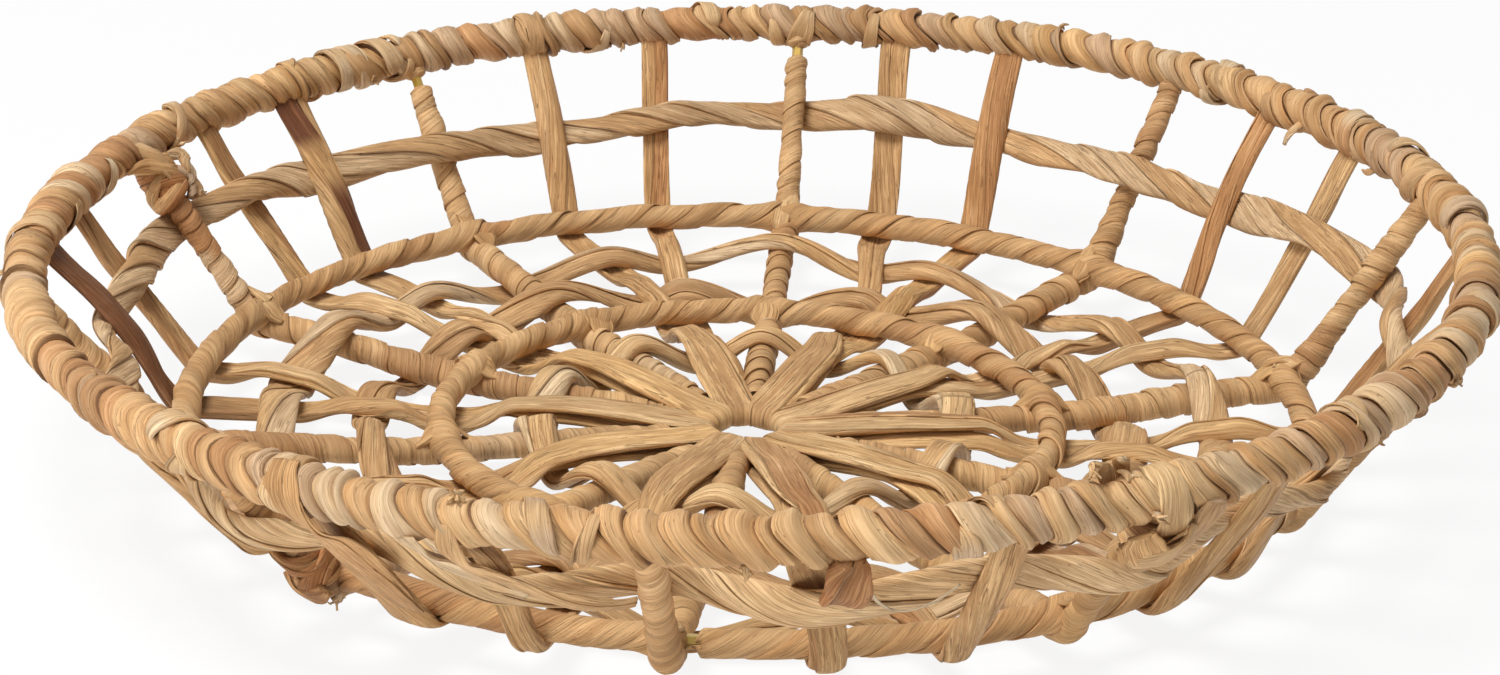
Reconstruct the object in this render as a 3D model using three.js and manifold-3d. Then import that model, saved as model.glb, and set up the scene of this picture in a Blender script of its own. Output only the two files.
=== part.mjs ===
// A round, shallow storage basket: leaf wound on a wire frame, with folded leaf strands woven through it.
// Millimetres, +Z up, standing on z = 0 with the middle of the base over the origin.

import * as THREE from "three";
import { mergeVertices } from "three/addons/utils/BufferGeometryUtils.js";
import Module from "manifold-3d";

const wasm = await Module();
wasm.setup();

// Wire frame, on the wires' centre lines.
const rimRadius = 225;
const rimRise = 56; // rim above base ring
const rimLeanRight = 1.6; // degrees that the hand-built rim leans, rising to the right
const rimLeanBack = 0.9; // degrees, rising to the back
const baseRingRadius = 178;
const innerRingRadius = 98;
const hubRadius = 13;
const baseSag = 6.7; // inner ring below base ring
const wireRadius = 2;
const rimWireRadius = 2.5;

// Each rib and the two staves between it and the next, as they were bent and woven by hand:
// degrees round from +X, along the rim.
const bays = [
  { rib: 10.5, staves: [23.5, 35] },
  { rib: 48, staves: [64.5, 75.5] },
  { rib: 86, staves: [100.5, 111.5] },
  { rib: 124, staves: [138, 147.5] },
  { rib: 157.5, staves: [171, 181] },
  { rib: 193, staves: [205, 217] },
  { rib: 229.5, staves: [239, 251] },
  { rib: 263.5, staves: [276.5, 289] },
  { rib: 300.5, staves: [312, 323] },
  { rib: 336, staves: [347, 358] },
];
const firstArm = 31.5; // degrees round from +X, and the other arms stand evenly round the hub

// Leaf wound on the wires, as outside radii.
const rimWrapRadius = 6.5;
const ringWrapRadius = 4.4;
const ribWrapRadius = 4.7;
const ribWrapStart = 45; // from the middle of the base

// Strands: each is folded over the hub ring, and its two legs rise in the wall as staves.
const armWidth = 13;
const leafThickness = 3;
const legWidth = 8.2;
const staveWidth = 9.7;
const strandThickness = 3.8;
const armClimb = 4.4; // an arm's rise over the star weaver
const legParting = 14; // the way past the star weaver over which an arm's leaves come apart

// Weavers, by the places of their centre lines.
const weaverWidth = 11.5;
const weaverThickness = 4;
const starWeaverRadius = 68;
const starWeaverWidth = 9;
const innerWeaverRadius = 121;
const outerWeaverRadius = 150;
const wallWeaverOverMiddle = 1; // the wall's middle, that is
const wallWeaverWander = 3.5; // it slips up the ribs that it passes outside, and down the others

// Leaf ends knotted round three of the ribs.
const knotRadius = 8.6;
const knotLength = 12;
const knotCrown = 4; // its fullest stretch
const knotBelowRim = 3;
const footKnotClimb = 13;

// Clearances and the flat that the base stands on.
const touch = 0.3; // between pieces that touch
const foldGap = 0.6; // between the two legs of a strand
const hubGap = 0.75; // between neighbouring strands on the hub ring
const crossingRoom = 2.2; // that stiff leaf leaves where it bends over a stave or an arm
const flatDepth = 0.5;

// How finely curves are divided.
const windingSides = 8;
const wireSides = 6;
const strandSides = 6;
const hoopStepsPerRib = 4;
const innerHoopStepsPerRib = 3;
const hubStepsPerRib = 2;
const foldSteps = 3;
const weaverStepsPerCrossing = 3;
const coarseness = 0.2; // that straight steps cut into a clearance
const overshoot = 1; // that a cut runs past the piece it cuts

const ribCount = bays.length;
const ribStep = 360 / ribCount;
const bendRadius = 2 * wireRadius + touch; // from a ring wire's centre to a crossing rib wire's
const ribCrossing = ribWrapRadius + touch + coarseness + weaverThickness / 2;
const legCrossing = (strandThickness + weaverThickness + touch + crossingRoom) / 4;
const underRing = bendRadius - ringWrapRadius - touch - strandThickness / 2;
const hubFold = wireRadius + touch + coarseness + leafThickness / 2;
const leafSpacing = leafThickness + foldGap;

const radians = THREE.MathUtils.degToRad;
const smooth = (t) => THREE.MathUtils.smoothstep(t, 0, 1);

// A value that eases from knot to knot. Each knot is [place, value], and places rise.
function eased(knots, place) {
  const next = knots.findIndex((knot) => knot[0] > place);
  if (next === 0) return knots[0][1];
  if (next < 0) return knots[knots.length - 1][1];
  const [fromPlace, fromValue] = knots[next - 1];
  const [toPlace, toValue] = knots[next];
  const part = (place - fromPlace) / (toPlace - fromPlace);
  return fromValue + (toValue - fromValue) * smooth(part);
}

// Height of the ribs' centre line over the base, which sags in the middle.
function sagRise(radius) {
  return baseSag * smooth((radius - innerRingRadius) / (baseRingRadius - innerRingRadius));
}
const baseHeight = ribCrossing + weaverThickness / 2 - sagRise(innerWeaverRadius) - flatDepth;
const baseRingHeight = baseHeight + baseSag + bendRadius;
const innerRingHeight = baseHeight + bendRadius;
const baseRingAt = () => baseRingHeight;
const innerRingAt = () => innerRingHeight;

function rimHeight(azimuth) {
  const toRight = Math.tan(radians(rimLeanRight)) * Math.cos(azimuth);
  const toBack = Math.tan(radians(rimLeanBack)) * Math.sin(azimuth);
  return baseRingHeight + rimRise + rimRadius * (toRight + toBack);
}

// The line that the uprights follow at one azimuth: out over the base, round under the base ring and
// straight up the wall to the rim wire. A place on it is given by its reach, the way along it.
function uprightLine(azimuth) {
  const run = rimRadius - baseRingRadius;
  const rise = rimHeight(azimuth) - baseRingHeight;
  const distance = Math.hypot(run, rise);
  const bendEnd = Math.atan2(rise, run) - Math.acos(bendRadius / distance);
  const slope = bendEnd + Math.PI / 2;
  const bendLength = bendRadius * slope;
  const wallStart = baseRingRadius + bendLength;
  const wallLength = Math.sqrt(distance ** 2 - bendRadius ** 2);
  return { slope, bendEnd, bendLength, wallStart, end: wallStart + wallLength };
}

// The point at a reach and azimuth, moved into the bowl by offset.
function placeOn(azimuth, reach, offset) {
  const line = uprightLine(azimuth);
  let radius = reach;
  let height = baseHeight + sagRise(reach);
  let tilt = Math.atan2(sagRise(reach + 1) - sagRise(reach - 1), 2);
  if (reach > line.wallStart) {
    const climb = reach - line.wallStart;
    tilt = line.slope;
    radius = baseRingRadius + bendRadius * Math.cos(line.bendEnd) + climb * Math.cos(tilt);
    height = baseRingHeight + bendRadius * Math.sin(line.bendEnd) + climb * Math.sin(tilt);
  } else if (reach > baseRingRadius) {
    tilt = (reach - baseRingRadius) / bendRadius;
    radius = baseRingRadius + bendRadius * Math.sin(tilt);
    height = baseRingHeight - bendRadius * Math.cos(tilt);
  }
  radius -= offset * Math.sin(tilt);
  height += offset * Math.cos(tilt);
  return new THREE.Vector3(radius * Math.cos(azimuth), radius * Math.sin(azimuth), height);
}

// One section of a strip or tube: corners on an ellipse.
function section(centre, across, through, width, thickness, sides) {
  const points = [];
  for (let side = 0; side < sides; side++) {
    const turn = (2 * Math.PI * side) / sides;
    const sideways = (Math.cos(turn) * width) / 2;
    const upwards = (Math.sin(turn) * thickness) / 2;
    points.push(centre.clone().addScaledVector(across, sideways).addScaledVector(through, upwards));
  }
  return points;
}

// The height of an ellipse's corners that puts its flats a thickness apart.
const stripHeight = (thickness) => thickness / Math.cos(Math.PI / strandSides);

// The closed surface through a row of sections: a hoop when they join up, or capped at both ends.
function skin(sections, joined) {
  const sides = sections[0].length;
  const corners = sections.flat();
  const faces = [];
  const spans = joined ? sections.length : sections.length - 1;
  for (let span = 0; span < spans; span++) {
    const here = span * sides;
    const there = ((span + 1) % sections.length) * sides;
    for (let side = 0; side < sides; side++) {
      const next = (side + 1) % sides;
      faces.push(here + side, here + next, there + next);
      faces.push(here + side, there + next, there + side);
    }
  }
  if (!joined) {
    const last = (sections.length - 1) * sides;
    for (let side = 1; side < sides - 1; side++) {
      faces.push(0, side + 1, side);
      faces.push(last, last + side, last + side + 1);
    }
  }
  const geometry = new THREE.BufferGeometry().setFromPoints(corners);
  geometry.setIndex(faces);
  return geometry;
}

// Sections along a path. Each stop has a point, a hint of the width's direction, a width and a thickness.
function sweep(stops, sides, joined) {
  return stops.map((stop, index) => {
    const count = stops.length;
    const before = stops[joined ? (index + count - 1) % count : Math.max(index - 1, 0)].point;
    const after = stops[joined ? (index + 1) % count : Math.min(index + 1, count - 1)].point;
    const ahead = after.clone().sub(before).normalize();
    const across = stop.hint.clone().addScaledVector(ahead, -stop.hint.dot(ahead)).normalize();
    const through = ahead.clone().cross(across);
    return section(stop.point, across, through, stop.width, stop.thickness, sides);
  });
}

function solidOf(geometry) {
  const merged = mergeVertices(geometry, 1e-4);
  const mesh = new wasm.Mesh({
    numProp: 3,
    vertProperties: merged.attributes.position.array,
    triVerts: new Uint32Array(merged.index.array),
  });
  return new wasm.Manifold(mesh);
}

function geometryOf(solid) {
  const mesh = solid.getMesh();
  const geometry = new THREE.BufferGeometry();
  geometry.setAttribute("position", new THREE.BufferAttribute(mesh.vertProperties, 3));
  geometry.setIndex(new THREE.BufferAttribute(mesh.triVerts, 1));
  return geometry;
}

// The part of a geometry above the table, so that the lowest crossings stand on flats.
function flattened(geometry) {
  return geometryOf(solidOf(geometry).trimByPlane([0, 0, 1], 0));
}

// The corner radius of a space that clears a round piece on its flats.
const clearOf = (radius, sides) => (radius + touch) / Math.cos(Math.PI / sides);

const ribAzimuth = (rib) => radians(bays[rib].rib);
const armAzimuth = (rib) => radians(firstArm + rib * ribStep);
const staveAzimuth = (rib, second) => radians(bays[rib].staves[second ? 1 : 0]);

// A round hoop about the middle, whose height may change with the azimuth.
function hoop(radius, heightAt, thickness, sides, stepsPerRib) {
  const stops = [];
  for (let step = 0; step < ribCount * stepsPerRib; step++) {
    const azimuth = radians((step * ribStep) / stepsPerRib);
    const out = new THREE.Vector3(Math.cos(azimuth), Math.sin(azimuth), 0);
    const point = out.clone().multiplyScalar(radius).setZ(heightAt(azimuth));
    stops.push({ point, hint: out.negate(), width: 2 * thickness, thickness: 2 * thickness });
  }
  return skin(sweep(stops, sides, true), true);
}

// The places on a rib's line that its sections need between two ends.
function ribPlaces(rib, from, to) {
  const line = uprightLine(ribAzimuth(rib));
  const places = [ribWrapStart, innerRingRadius, innerWeaverRadius, outerWeaverRadius, baseRingRadius];
  places.push(baseRingRadius + line.bendLength / 2, line.wallStart);
  return [from, ...places.filter((place) => place > from && place < to), to];
}

function ribSections(rib, places, radiusAt, sides) {
  const azimuth = ribAzimuth(rib);
  const hint = new THREE.Vector3(-Math.sin(azimuth), Math.cos(azimuth), 0);
  const stops = places.map((place) => ({
    point: placeOn(azimuth, place, 0),
    hint,
    width: 2 * radiusAt(place),
    thickness: 2 * radiusAt(place),
  }));
  return sweep(stops, sides, false);
}

// How far the rim's straight steps lie inside its circle at an azimuth.
function rimInset(azimuth) {
  const half = radians(ribStep / hoopStepsPerRib / 2);
  const aside = (azimuth % (2 * half)) - half;
  return rimRadius * (1 - Math.cos(half) / Math.cos(aside));
}

// The reach at which an upright of some half width meets the rim's wire or winding.
function rimReach(azimuth, rimThickness, halfWidth) {
  const corner = halfWidth * Math.tan(radians(ribStep / hoopStepsPerRib));
  return uprightLine(azimuth).end - rimThickness - touch - rimInset(azimuth) - corner;
}

// A round rod on a rib's line.
function ribRod(rib, from, to, radius, sides) {
  return skin(ribSections(rib, ribPlaces(rib, from, to), () => radius, sides), false);
}

// What a rib's winding takes out of a ring's winding where they cross, with the clearance.
function ribClearance(rib, reach) {
  const half = ringWrapRadius + ribWrapRadius + overshoot;
  return ribRod(rib, reach - half, reach + half, clearOf(ribWrapRadius, windingSides), windingSides);
}

// What a rib's wire takes out of the rim's winding on its way to the rim wire.
function ribWireClearance(rib) {
  const end = uprightLine(ribAzimuth(rib)).end;
  return ribRod(rib, end - 2 * rimWrapRadius, end, clearOf(wireRadius, wireSides), wireSides);
}

// The wound leaf on a hoop: bored for its wire, and open where each rib crosses or meets it.
function hoopWinding(radius, heightAt, outside, wire, stepsPerRib, clearanceAt) {
  const bore = hoop(radius, heightAt, clearOf(wire, wireSides), wireSides, stepsPerRib);
  let winding = solidOf(hoop(radius, heightAt, outside, windingSides, stepsPerRib));
  winding = winding.subtract(solidOf(bore));
  for (let rib = 0; rib < ribCount; rib++) winding = winding.subtract(solidOf(clearanceAt(rib)));
  return geometryOf(winding);
}

function ribWire(rib) {
  const start = hubRadius + wireRadius + touch;
  const end = rimReach(ribAzimuth(rib), rimWireRadius, wireRadius);
  return ribRod(rib, start, end, wireRadius, wireSides);
}

// The wound leaf on a rib, notched for the wires of the two rings that it passes under.
function ribWinding(rib) {
  const end = rimReach(ribAzimuth(rib), rimWrapRadius, ribWrapRadius);
  const clear = clearOf(wireRadius, wireSides);
  const bore = ribRod(rib, ribWrapStart - overshoot, end + overshoot, clear, wireSides);
  const baseWire = hoop(baseRingRadius, baseRingAt, clear, wireSides, hoopStepsPerRib);
  const innerWire = hoop(innerRingRadius, innerRingAt, clear, wireSides, innerHoopStepsPerRib);
  let winding = solidOf(ribRod(rib, ribWrapStart, end, ribWrapRadius, windingSides));
  for (const cut of [bore, baseWire, innerWire]) winding = winding.subtract(solidOf(cut));
  return geometryOf(winding);
}

// A leaf end knotted round a rib, fullest in the middle.
function ribKnot(rib, middle) {
  const half = knotLength / 2;
  const ends = ribWrapRadius + touch + leafThickness / 2;
  const knots = [
    [middle - half, ends],
    [middle - knotCrown / 2, knotRadius],
    [middle + knotCrown / 2, knotRadius],
    [middle + half, ends],
  ];
  const places = knots.map((knot) => knot[0]);
  const outside = ribSections(rib, places, (place) => eased(knots, place), windingSides);
  const inside = ribSections(rib, places, () => clearOf(ribWrapRadius, windingSides), windingSides);
  return skin([...outside, ...inside.reverse()], true);
}

// The uprights in turn: a rib and two staves, ten times over. Weavers cross them in this order.
const uprightCount = 3 * ribCount;
const isRib = (upright) => upright % 3 === 0;

// Where a leg lies: on its arm as far as the inner ring, then spreading to its stave's azimuth.
function legAzimuth(rib, second, reach) {
  const aside = eased(
    [
      [starWeaverRadius, 0],
      [starWeaverRadius + legParting, (legWidth + foldGap) / 2],
    ],
    reach,
  );
  const onArm = armAzimuth(rib) + (second ? 1 : -1) * Math.asin(aside / Math.max(reach, hubRadius));
  const spread = smooth((reach - innerRingRadius) / (baseRingRadius - innerRingRadius));
  return onArm + (staveAzimuth(rib, second) - onArm) * spread;
}

function uprightAzimuth(upright, reach) {
  const rib = Math.floor(upright / 3);
  if (isRib(upright)) return ribAzimuth(rib);
  return legAzimuth(rib, upright % 3 === 2, reach);
}

// The wall weaver and the inner weaver pass inside every other upright, the outer one inside the rest.
const passesInside = (upright, evenOnes) => (upright % 2 === 0) === evenOnes;

function crossingOffset(upright, evenOnes) {
  const depth = isRib(upright) ? ribCrossing : legCrossing;
  return passesInside(upright, evenOnes) ? depth : -depth;
}

function wallWeaverReach(azimuth) {
  const line = uprightLine(azimuth);
  const wander = wallWeaverWander * Math.cos((ribCount / 2) * (azimuth - ribAzimuth(0)));
  return (line.wallStart + line.end) / 2 + wallWeaverOverMiddle + wander;
}

// One leg of a strand from the hub ring's top or underside out to the rim.
function legStops(rib, second) {
  const upright = 3 * rib + (second ? 2 : 1);
  const stave = staveAzimuth(rib, second);
  const line = uprightLine(stave);
  const side = second ? 1 : -1; // the second leg is the upper leaf on the arm
  const onStar = armClimb + (side * leafSpacing) / 2;
  const atWall = -crossingOffset(upright, false);
  const atInner = -crossingOffset(upright, false);
  const atOuter = -crossingOffset(upright, true);
  const half = weaverWidth / 2;
  const wallPlace = wallWeaverReach(stave);
  const merge = innerRingRadius - ringWrapRadius;
  const end = rimReach(stave, rimWrapRadius, staveWidth / 2);
  const fullArm = (armWidth + touch) / (2 * Math.sin(radians(ribStep / 2)));
  const offsets = [
    [hubRadius, side * hubFold],
    [starWeaverRadius - half, onStar],
    [starWeaverRadius + half, onStar],
    [merge, underRing],
    [innerRingRadius + ringWrapRadius / 2, underRing],
    [innerWeaverRadius - half, atInner],
    [innerWeaverRadius + half, atInner],
    [outerWeaverRadius - half, atOuter],
    [outerWeaverRadius + half, atOuter],
    [baseRingRadius - ringWrapRadius, underRing],
    [line.wallStart, underRing],
    [wallPlace - half, atWall],
    [wallPlace + half, atWall],
    [end, 0],
  ];
  const widths = [
    [starWeaverRadius - weaverWidth, armWidth],
    [starWeaverRadius + weaverWidth, legWidth],
    [innerWeaverRadius + half, legWidth],
    [outerWeaverRadius, staveWidth],
  ];
  const thicknesses = [
    [starWeaverRadius, leafThickness],
    [merge, strandThickness],
  ];
  const between = [
    fullArm,
    (fullArm + starWeaverRadius) / 2,
    starWeaverRadius,
    (starWeaverRadius + half + merge) / 2,
    baseRingRadius,
    baseRingRadius + line.bendLength / 2,
    (line.wallStart + wallPlace - half) / 2,
  ];
  const places = [...offsets.map((knot) => knot[0]), ...between].sort((a, b) => a - b);
  return places.map((place) => {
    const azimuth = legAzimuth(rib, second, place);
    const room = 2 * place * Math.sin(radians(ribStep / 2)) - touch;
    return {
      point: placeOn(azimuth, place, eased(offsets, place)),
      hint: new THREE.Vector3(-Math.sin(azimuth), Math.cos(azimuth), 0),
      width: Math.min(eased(widths, place), room),
      thickness: stripHeight(eased(thicknesses, place)),
    };
  });
}

// The quarter turn of a strand from the top or underside of the hub wire to its inner side.
function foldStops(rib, second) {
  const azimuth = armAzimuth(rib);
  const stops = [];
  for (let step = foldSteps - 1; step >= 0; step--) {
    const turn = (step * Math.PI) / (2 * foldSteps);
    const radius = hubRadius - hubFold * Math.cos(turn);
    const height = baseHeight + (second ? 1 : -1) * hubFold * Math.sin(turn);
    stops.push({
      point: new THREE.Vector3(radius * Math.cos(azimuth), radius * Math.sin(azimuth), height),
      hint: new THREE.Vector3(-Math.sin(azimuth), Math.cos(azimuth), 0),
      width: 2 * radius * Math.sin(radians(ribStep / 2)) - hubGap,
      thickness: stripHeight(leafThickness),
    });
  }
  return stops;
}

// A whole strand, in one sweep from the top of its second stave over the hub ring to its first.
function strand(rib) {
  const upper = [...foldStops(rib, true).reverse(), ...legStops(rib, true)];
  const lower = [...foldStops(rib, false).reverse(), ...legStops(rib, false)];
  const stops = [...upper.reverse(), ...lower.slice(1)];
  return flattened(skin(sweep(stops, strandSides, false), false));
}

// A weaver: a closed strip that runs round the basket at its reach, in and out of the crossings.
function weaver(crossings, reachAt, width, thickness) {
  const stops = [];
  crossings.forEach((crossing, index) => {
    const next = crossings[(index + 1) % crossings.length];
    const turn = index + 1 === crossings.length ? 2 * Math.PI : 0;
    for (let step = 0; step < weaverStepsPerCrossing; step++) {
      const part = step / weaverStepsPerCrossing;
      const azimuth = crossing.azimuth + (next.azimuth + turn - crossing.azimuth) * part;
      const offset = crossing.offset + (next.offset - crossing.offset) * smooth(part);
      const reach = reachAt(azimuth);
      const hint = placeOn(azimuth, reach - 1, offset).sub(placeOn(azimuth, reach + 1, offset));
      stops.push({ point: placeOn(azimuth, reach, offset), hint, width, thickness: stripHeight(thickness) });
    }
  });
  return flattened(skin(sweep(stops, strandSides, true), true));
}

function uprightCrossings(reach, evenOnes) {
  const crossings = [];
  for (let upright = 0; upright < uprightCount; upright++) {
    crossings.push({
      azimuth: uprightAzimuth(upright, reach),
      offset: crossingOffset(upright, evenOnes),
    });
  }
  return crossings;
}

// The star weaver runs over the ribs and under the arms of the strands.
function starCrossings() {
  const armDepth = (leafSpacing + leafThickness + weaverThickness) / 2;
  const underArm = armClimb - armDepth - touch - crossingRoom;
  const crossings = [];
  for (let rib = 0; rib < ribCount; rib++) {
    crossings.push({ azimuth: ribAzimuth(rib), offset: ribCrossing });
    crossings.push({ azimuth: armAzimuth(rib), offset: underArm });
  }
  return crossings;
}

// Finishes, one material to a mesh.
const leafRoughness = 0.78;
const finishes = {
  wire: { color: 0xa88a3a, roughness: 0.35, metalness: 0.6 },
  rimLeaf: { color: 0xcfae80, roughness: leafRoughness, metalness: 0 },
  woundLeaf: { color: 0xb99367, roughness: leafRoughness, metalness: 0 },
  strandLeaf: { color: 0xbd9160, roughness: leafRoughness, metalness: 0 },
  weaverLeaf: { color: 0xc79f6c, roughness: leafRoughness, metalness: 0 },
  knotLeaf: { color: 0xa27a52, roughness: leafRoughness, metalness: 0 },
};

const basket = new THREE.Group();

function add(name, geometry, finish) {
  const mesh = new THREE.Mesh(geometry, new THREE.MeshStandardMaterial(finishes[finish]));
  mesh.name = name;
  basket.add(mesh);
}

const ofRib = (name, rib) => name + "_" + String(rib + 1).padStart(2, "0");

add("rim_wire", hoop(rimRadius, rimHeight, rimWireRadius, wireSides, hoopStepsPerRib), "wire");
add("base_ring_wire", hoop(baseRingRadius, baseRingAt, wireRadius, wireSides, hoopStepsPerRib), "wire");
add(
  "inner_ring_wire",
  hoop(innerRingRadius, innerRingAt, wireRadius, wireSides, innerHoopStepsPerRib),
  "wire",
);
add("hub_ring_wire", hoop(hubRadius, () => baseHeight, wireRadius, wireSides, hubStepsPerRib), "wire");
add(
  "rim_winding",
  hoopWinding(rimRadius, rimHeight, rimWrapRadius, rimWireRadius, hoopStepsPerRib, ribWireClearance),
  "rimLeaf",
);
add(
  "base_ring_winding",
  hoopWinding(baseRingRadius, baseRingAt, ringWrapRadius, wireRadius, hoopStepsPerRib, (rib) =>
    ribClearance(rib, baseRingRadius),
  ),
  "woundLeaf",
);
add(
  "inner_ring_winding",
  hoopWinding(innerRingRadius, innerRingAt, ringWrapRadius, wireRadius, innerHoopStepsPerRib, (rib) =>
    ribClearance(rib, innerRingRadius),
  ),
  "woundLeaf",
);
for (let rib = 0; rib < ribCount; rib++) {
  add(ofRib("rib_wire", rib), ribWire(rib), "wire");
  add(ofRib("rib_winding", rib), ribWinding(rib), "woundLeaf");
  add(ofRib("strand", rib), strand(rib), "strandLeaf");
}

const wallCrossings = uprightCrossings(rimRadius, false);
add("wall_weaver", weaver(wallCrossings, wallWeaverReach, weaverWidth, weaverThickness), "weaverLeaf");
const outerCrossings = uprightCrossings(outerWeaverRadius, true);
add(
  "outer_base_weaver",
  weaver(outerCrossings, () => outerWeaverRadius, weaverWidth, weaverThickness),
  "weaverLeaf",
);
const innerCrossings = uprightCrossings(innerWeaverRadius, false);
add(
  "inner_base_weaver",
  weaver(innerCrossings, () => innerWeaverRadius, weaverWidth, weaverThickness),
  "weaverLeaf",
);
add(
  "star_weaver",
  weaver(starCrossings(), () => starWeaverRadius, starWeaverWidth, weaverThickness),
  "weaverLeaf",
);

// The three knotted leaf ends that the photographed basket shows, by the rib that carries each.
const backLeftRib = 4;
const frontLeftRib = 6;
const frontRightRib = 8;
const underRim = (rib) =>
  uprightLine(ribAzimuth(rib)).end - rimWrapRadius - knotBelowRim - knotLength / 2;
add("back_left_knot", ribKnot(backLeftRib, underRim(backLeftRib)), "knotLeaf");
add("front_right_knot", ribKnot(frontRightRib, underRim(frontRightRib)), "knotLeaf");
const footPlace = uprightLine(ribAzimuth(frontLeftRib)).wallStart + footKnotClimb;
add("front_left_knot", ribKnot(frontLeftRib, footPlace), "knotLeaf");

export default basket;
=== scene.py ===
"""Dresses a round storage basket: dried leaf wound on a wire frame, with folded leaf strands woven
through it. Everything is in metres, standing on z = 0 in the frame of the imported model."""
import math

import bpy
import numpy as np
from mathutils import Matrix


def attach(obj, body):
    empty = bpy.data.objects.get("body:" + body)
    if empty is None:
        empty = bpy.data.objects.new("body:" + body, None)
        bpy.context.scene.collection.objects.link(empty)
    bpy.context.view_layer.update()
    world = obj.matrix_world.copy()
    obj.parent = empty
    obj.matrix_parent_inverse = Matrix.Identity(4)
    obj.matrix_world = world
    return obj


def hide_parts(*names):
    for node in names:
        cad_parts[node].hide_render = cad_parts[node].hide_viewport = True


bl_info = {
    "name": "Wound Leaf Basket",
    "version": (1, 0, 0),
    "blender": (4, 5, 0),
    "location": "View3D > Sidebar > Basket",
    "description": "Winds, folds and weaves the leaf of a shallow basket round its wire frame",
    "category": "Add Mesh",
}

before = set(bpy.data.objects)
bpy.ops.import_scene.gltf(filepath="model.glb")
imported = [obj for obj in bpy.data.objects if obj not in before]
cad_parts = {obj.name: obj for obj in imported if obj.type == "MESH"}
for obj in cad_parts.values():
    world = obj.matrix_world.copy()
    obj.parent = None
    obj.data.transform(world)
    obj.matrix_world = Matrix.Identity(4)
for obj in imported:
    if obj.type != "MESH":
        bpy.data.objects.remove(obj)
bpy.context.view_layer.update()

MM = 0.001
TURN = 2 * math.pi


# What the frame holds: where its wires and strands run.

def cad_points(node):
    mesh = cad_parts[node].data
    flat = np.empty(len(mesh.vertices) * 3, np.float32)
    mesh.vertices.foreach_get("co", flat)
    return flat.reshape(-1, 3).astype(float)


def azimuth_of(points):
    return np.arctan2(points[:, 1], points[:, 0])


def wrapped(angle):
    """The same angle within half a turn of 0."""
    return (angle + math.pi) % TURN - math.pi


def hoop_radius(node):
    return float(np.hypot(*cad_points(node)[:, :2].T).mean())


RIB_COUNT = sum(name.startswith("rib_wire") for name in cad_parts)
RIM_RADIUS = hoop_radius("rim_wire")
RING_RADIUS = hoop_radius("base_ring_wire")
INNER_RADIUS = hoop_radius("inner_ring_wire")
HUB_RADIUS = hoop_radius("hub_ring_wire")
RING_HEIGHT = float(cad_points("base_ring_wire")[:, 2].mean())
INNER_HEIGHT = float(cad_points("inner_ring_wire")[:, 2].mean())
BASE_HEIGHT = float(cad_points("hub_ring_wire")[:, 2].mean())
BEND = INNER_HEIGHT - BASE_HEIGHT  # from a ring wire's middle to a crossing rib wire's
SAG = RING_HEIGHT - INNER_HEIGHT


def fitted_rim():
    """The height of the rim wire's plane in its middle, and its slopes to the right and back."""
    points = cad_points("rim_wire")
    columns = np.column_stack([np.ones(len(points)), points[:, 0], points[:, 1]])
    return np.linalg.lstsq(columns, points[:, 2], rcond=None)[0]


RIM_PLANE = fitted_rim()


def rib_angle(rib):
    middle = cad_points(f"rib_wire_{rib + 1:02d}").mean(0)
    return math.atan2(middle[1], middle[0])


def bay_angles(rib):
    """The azimuths of a strand's arm and of its two staves."""
    points = cad_points(f"strand_{rib + 1:02d}")
    on_arm = np.hypot(points[:, 0], points[:, 1]) < INNER_RADIUS / 2
    middle = points[on_arm].mean(0)
    arm = math.atan2(middle[1], middle[0])
    top = points[points[:, 2] > BASE_HEIGHT + 50 * MM]
    aside = wrapped(azimuth_of(top) - arm)
    return arm, arm + aside[aside < 0].mean(), arm + aside[aside > 0].mean()


RIBS = np.unwrap([rib_angle(rib) for rib in range(RIB_COUNT)])
ARMS, FIRST_STAVES, SECOND_STAVES = np.array([bay_angles(rib) for rib in range(RIB_COUNT)]).T
ARMS, FIRST_STAVES, SECOND_STAVES = (
    RIBS + (angles - RIBS) % TURN for angles in (ARMS, FIRST_STAVES, SECOND_STAVES)
)

# What sets some staves apart, by (rib, whether it is the second stave of its bay).
FOLDS = (0, 1, 2)  # a strip's three lengthwise folds
STAVE_LEANS = {  # degrees from foot to rim
    (0, False): 1.6, (0, True): 1.8, (1, False): 1.2, (1, True): 1.4, (2, False): -1.0, (3, True): 1.5,
    (4, True): -1.2, (6, False): -1.6, (7, False): -3.4, (8, True): 1.4, (9, False): -1.2,
}
STAVE_WIDTHS = {(6, False): 1.75, (8, False): 1.25, (4, True): 1.2, (3, False): 1.15, (7, False): 1.25}
STAVE_TINTS = {  # a tint, which of the folds have it, and how much of it
    (0, True): ("russet", FOLDS, 0.6), (1, False): ("russet", FOLDS, 0.6),
    (2, False): ("russet", (0,), 0.7), (3, False): ("maroon", (1,), 0.95), (3, True): ("brown", (0,), 0.75),
    (4, False): ("brown", (1, 2), 0.5), (4, True): ("maroon", FOLDS, 0.88),
    (5, True): ("brown", (0,), 0.7), (6, False): ("tan", FOLDS, 0.9), (9, True): ("brown", (2,), 0.8),
}
STAVE_TURNS = {3: -0.42}  # by rib, how far the first stave turns on the wall
STAVE_STREAKS = {3: ((0.886, 0.056), (0.984, 0.03))}  # by rib, where the first stave's dark leaf shows

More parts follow.
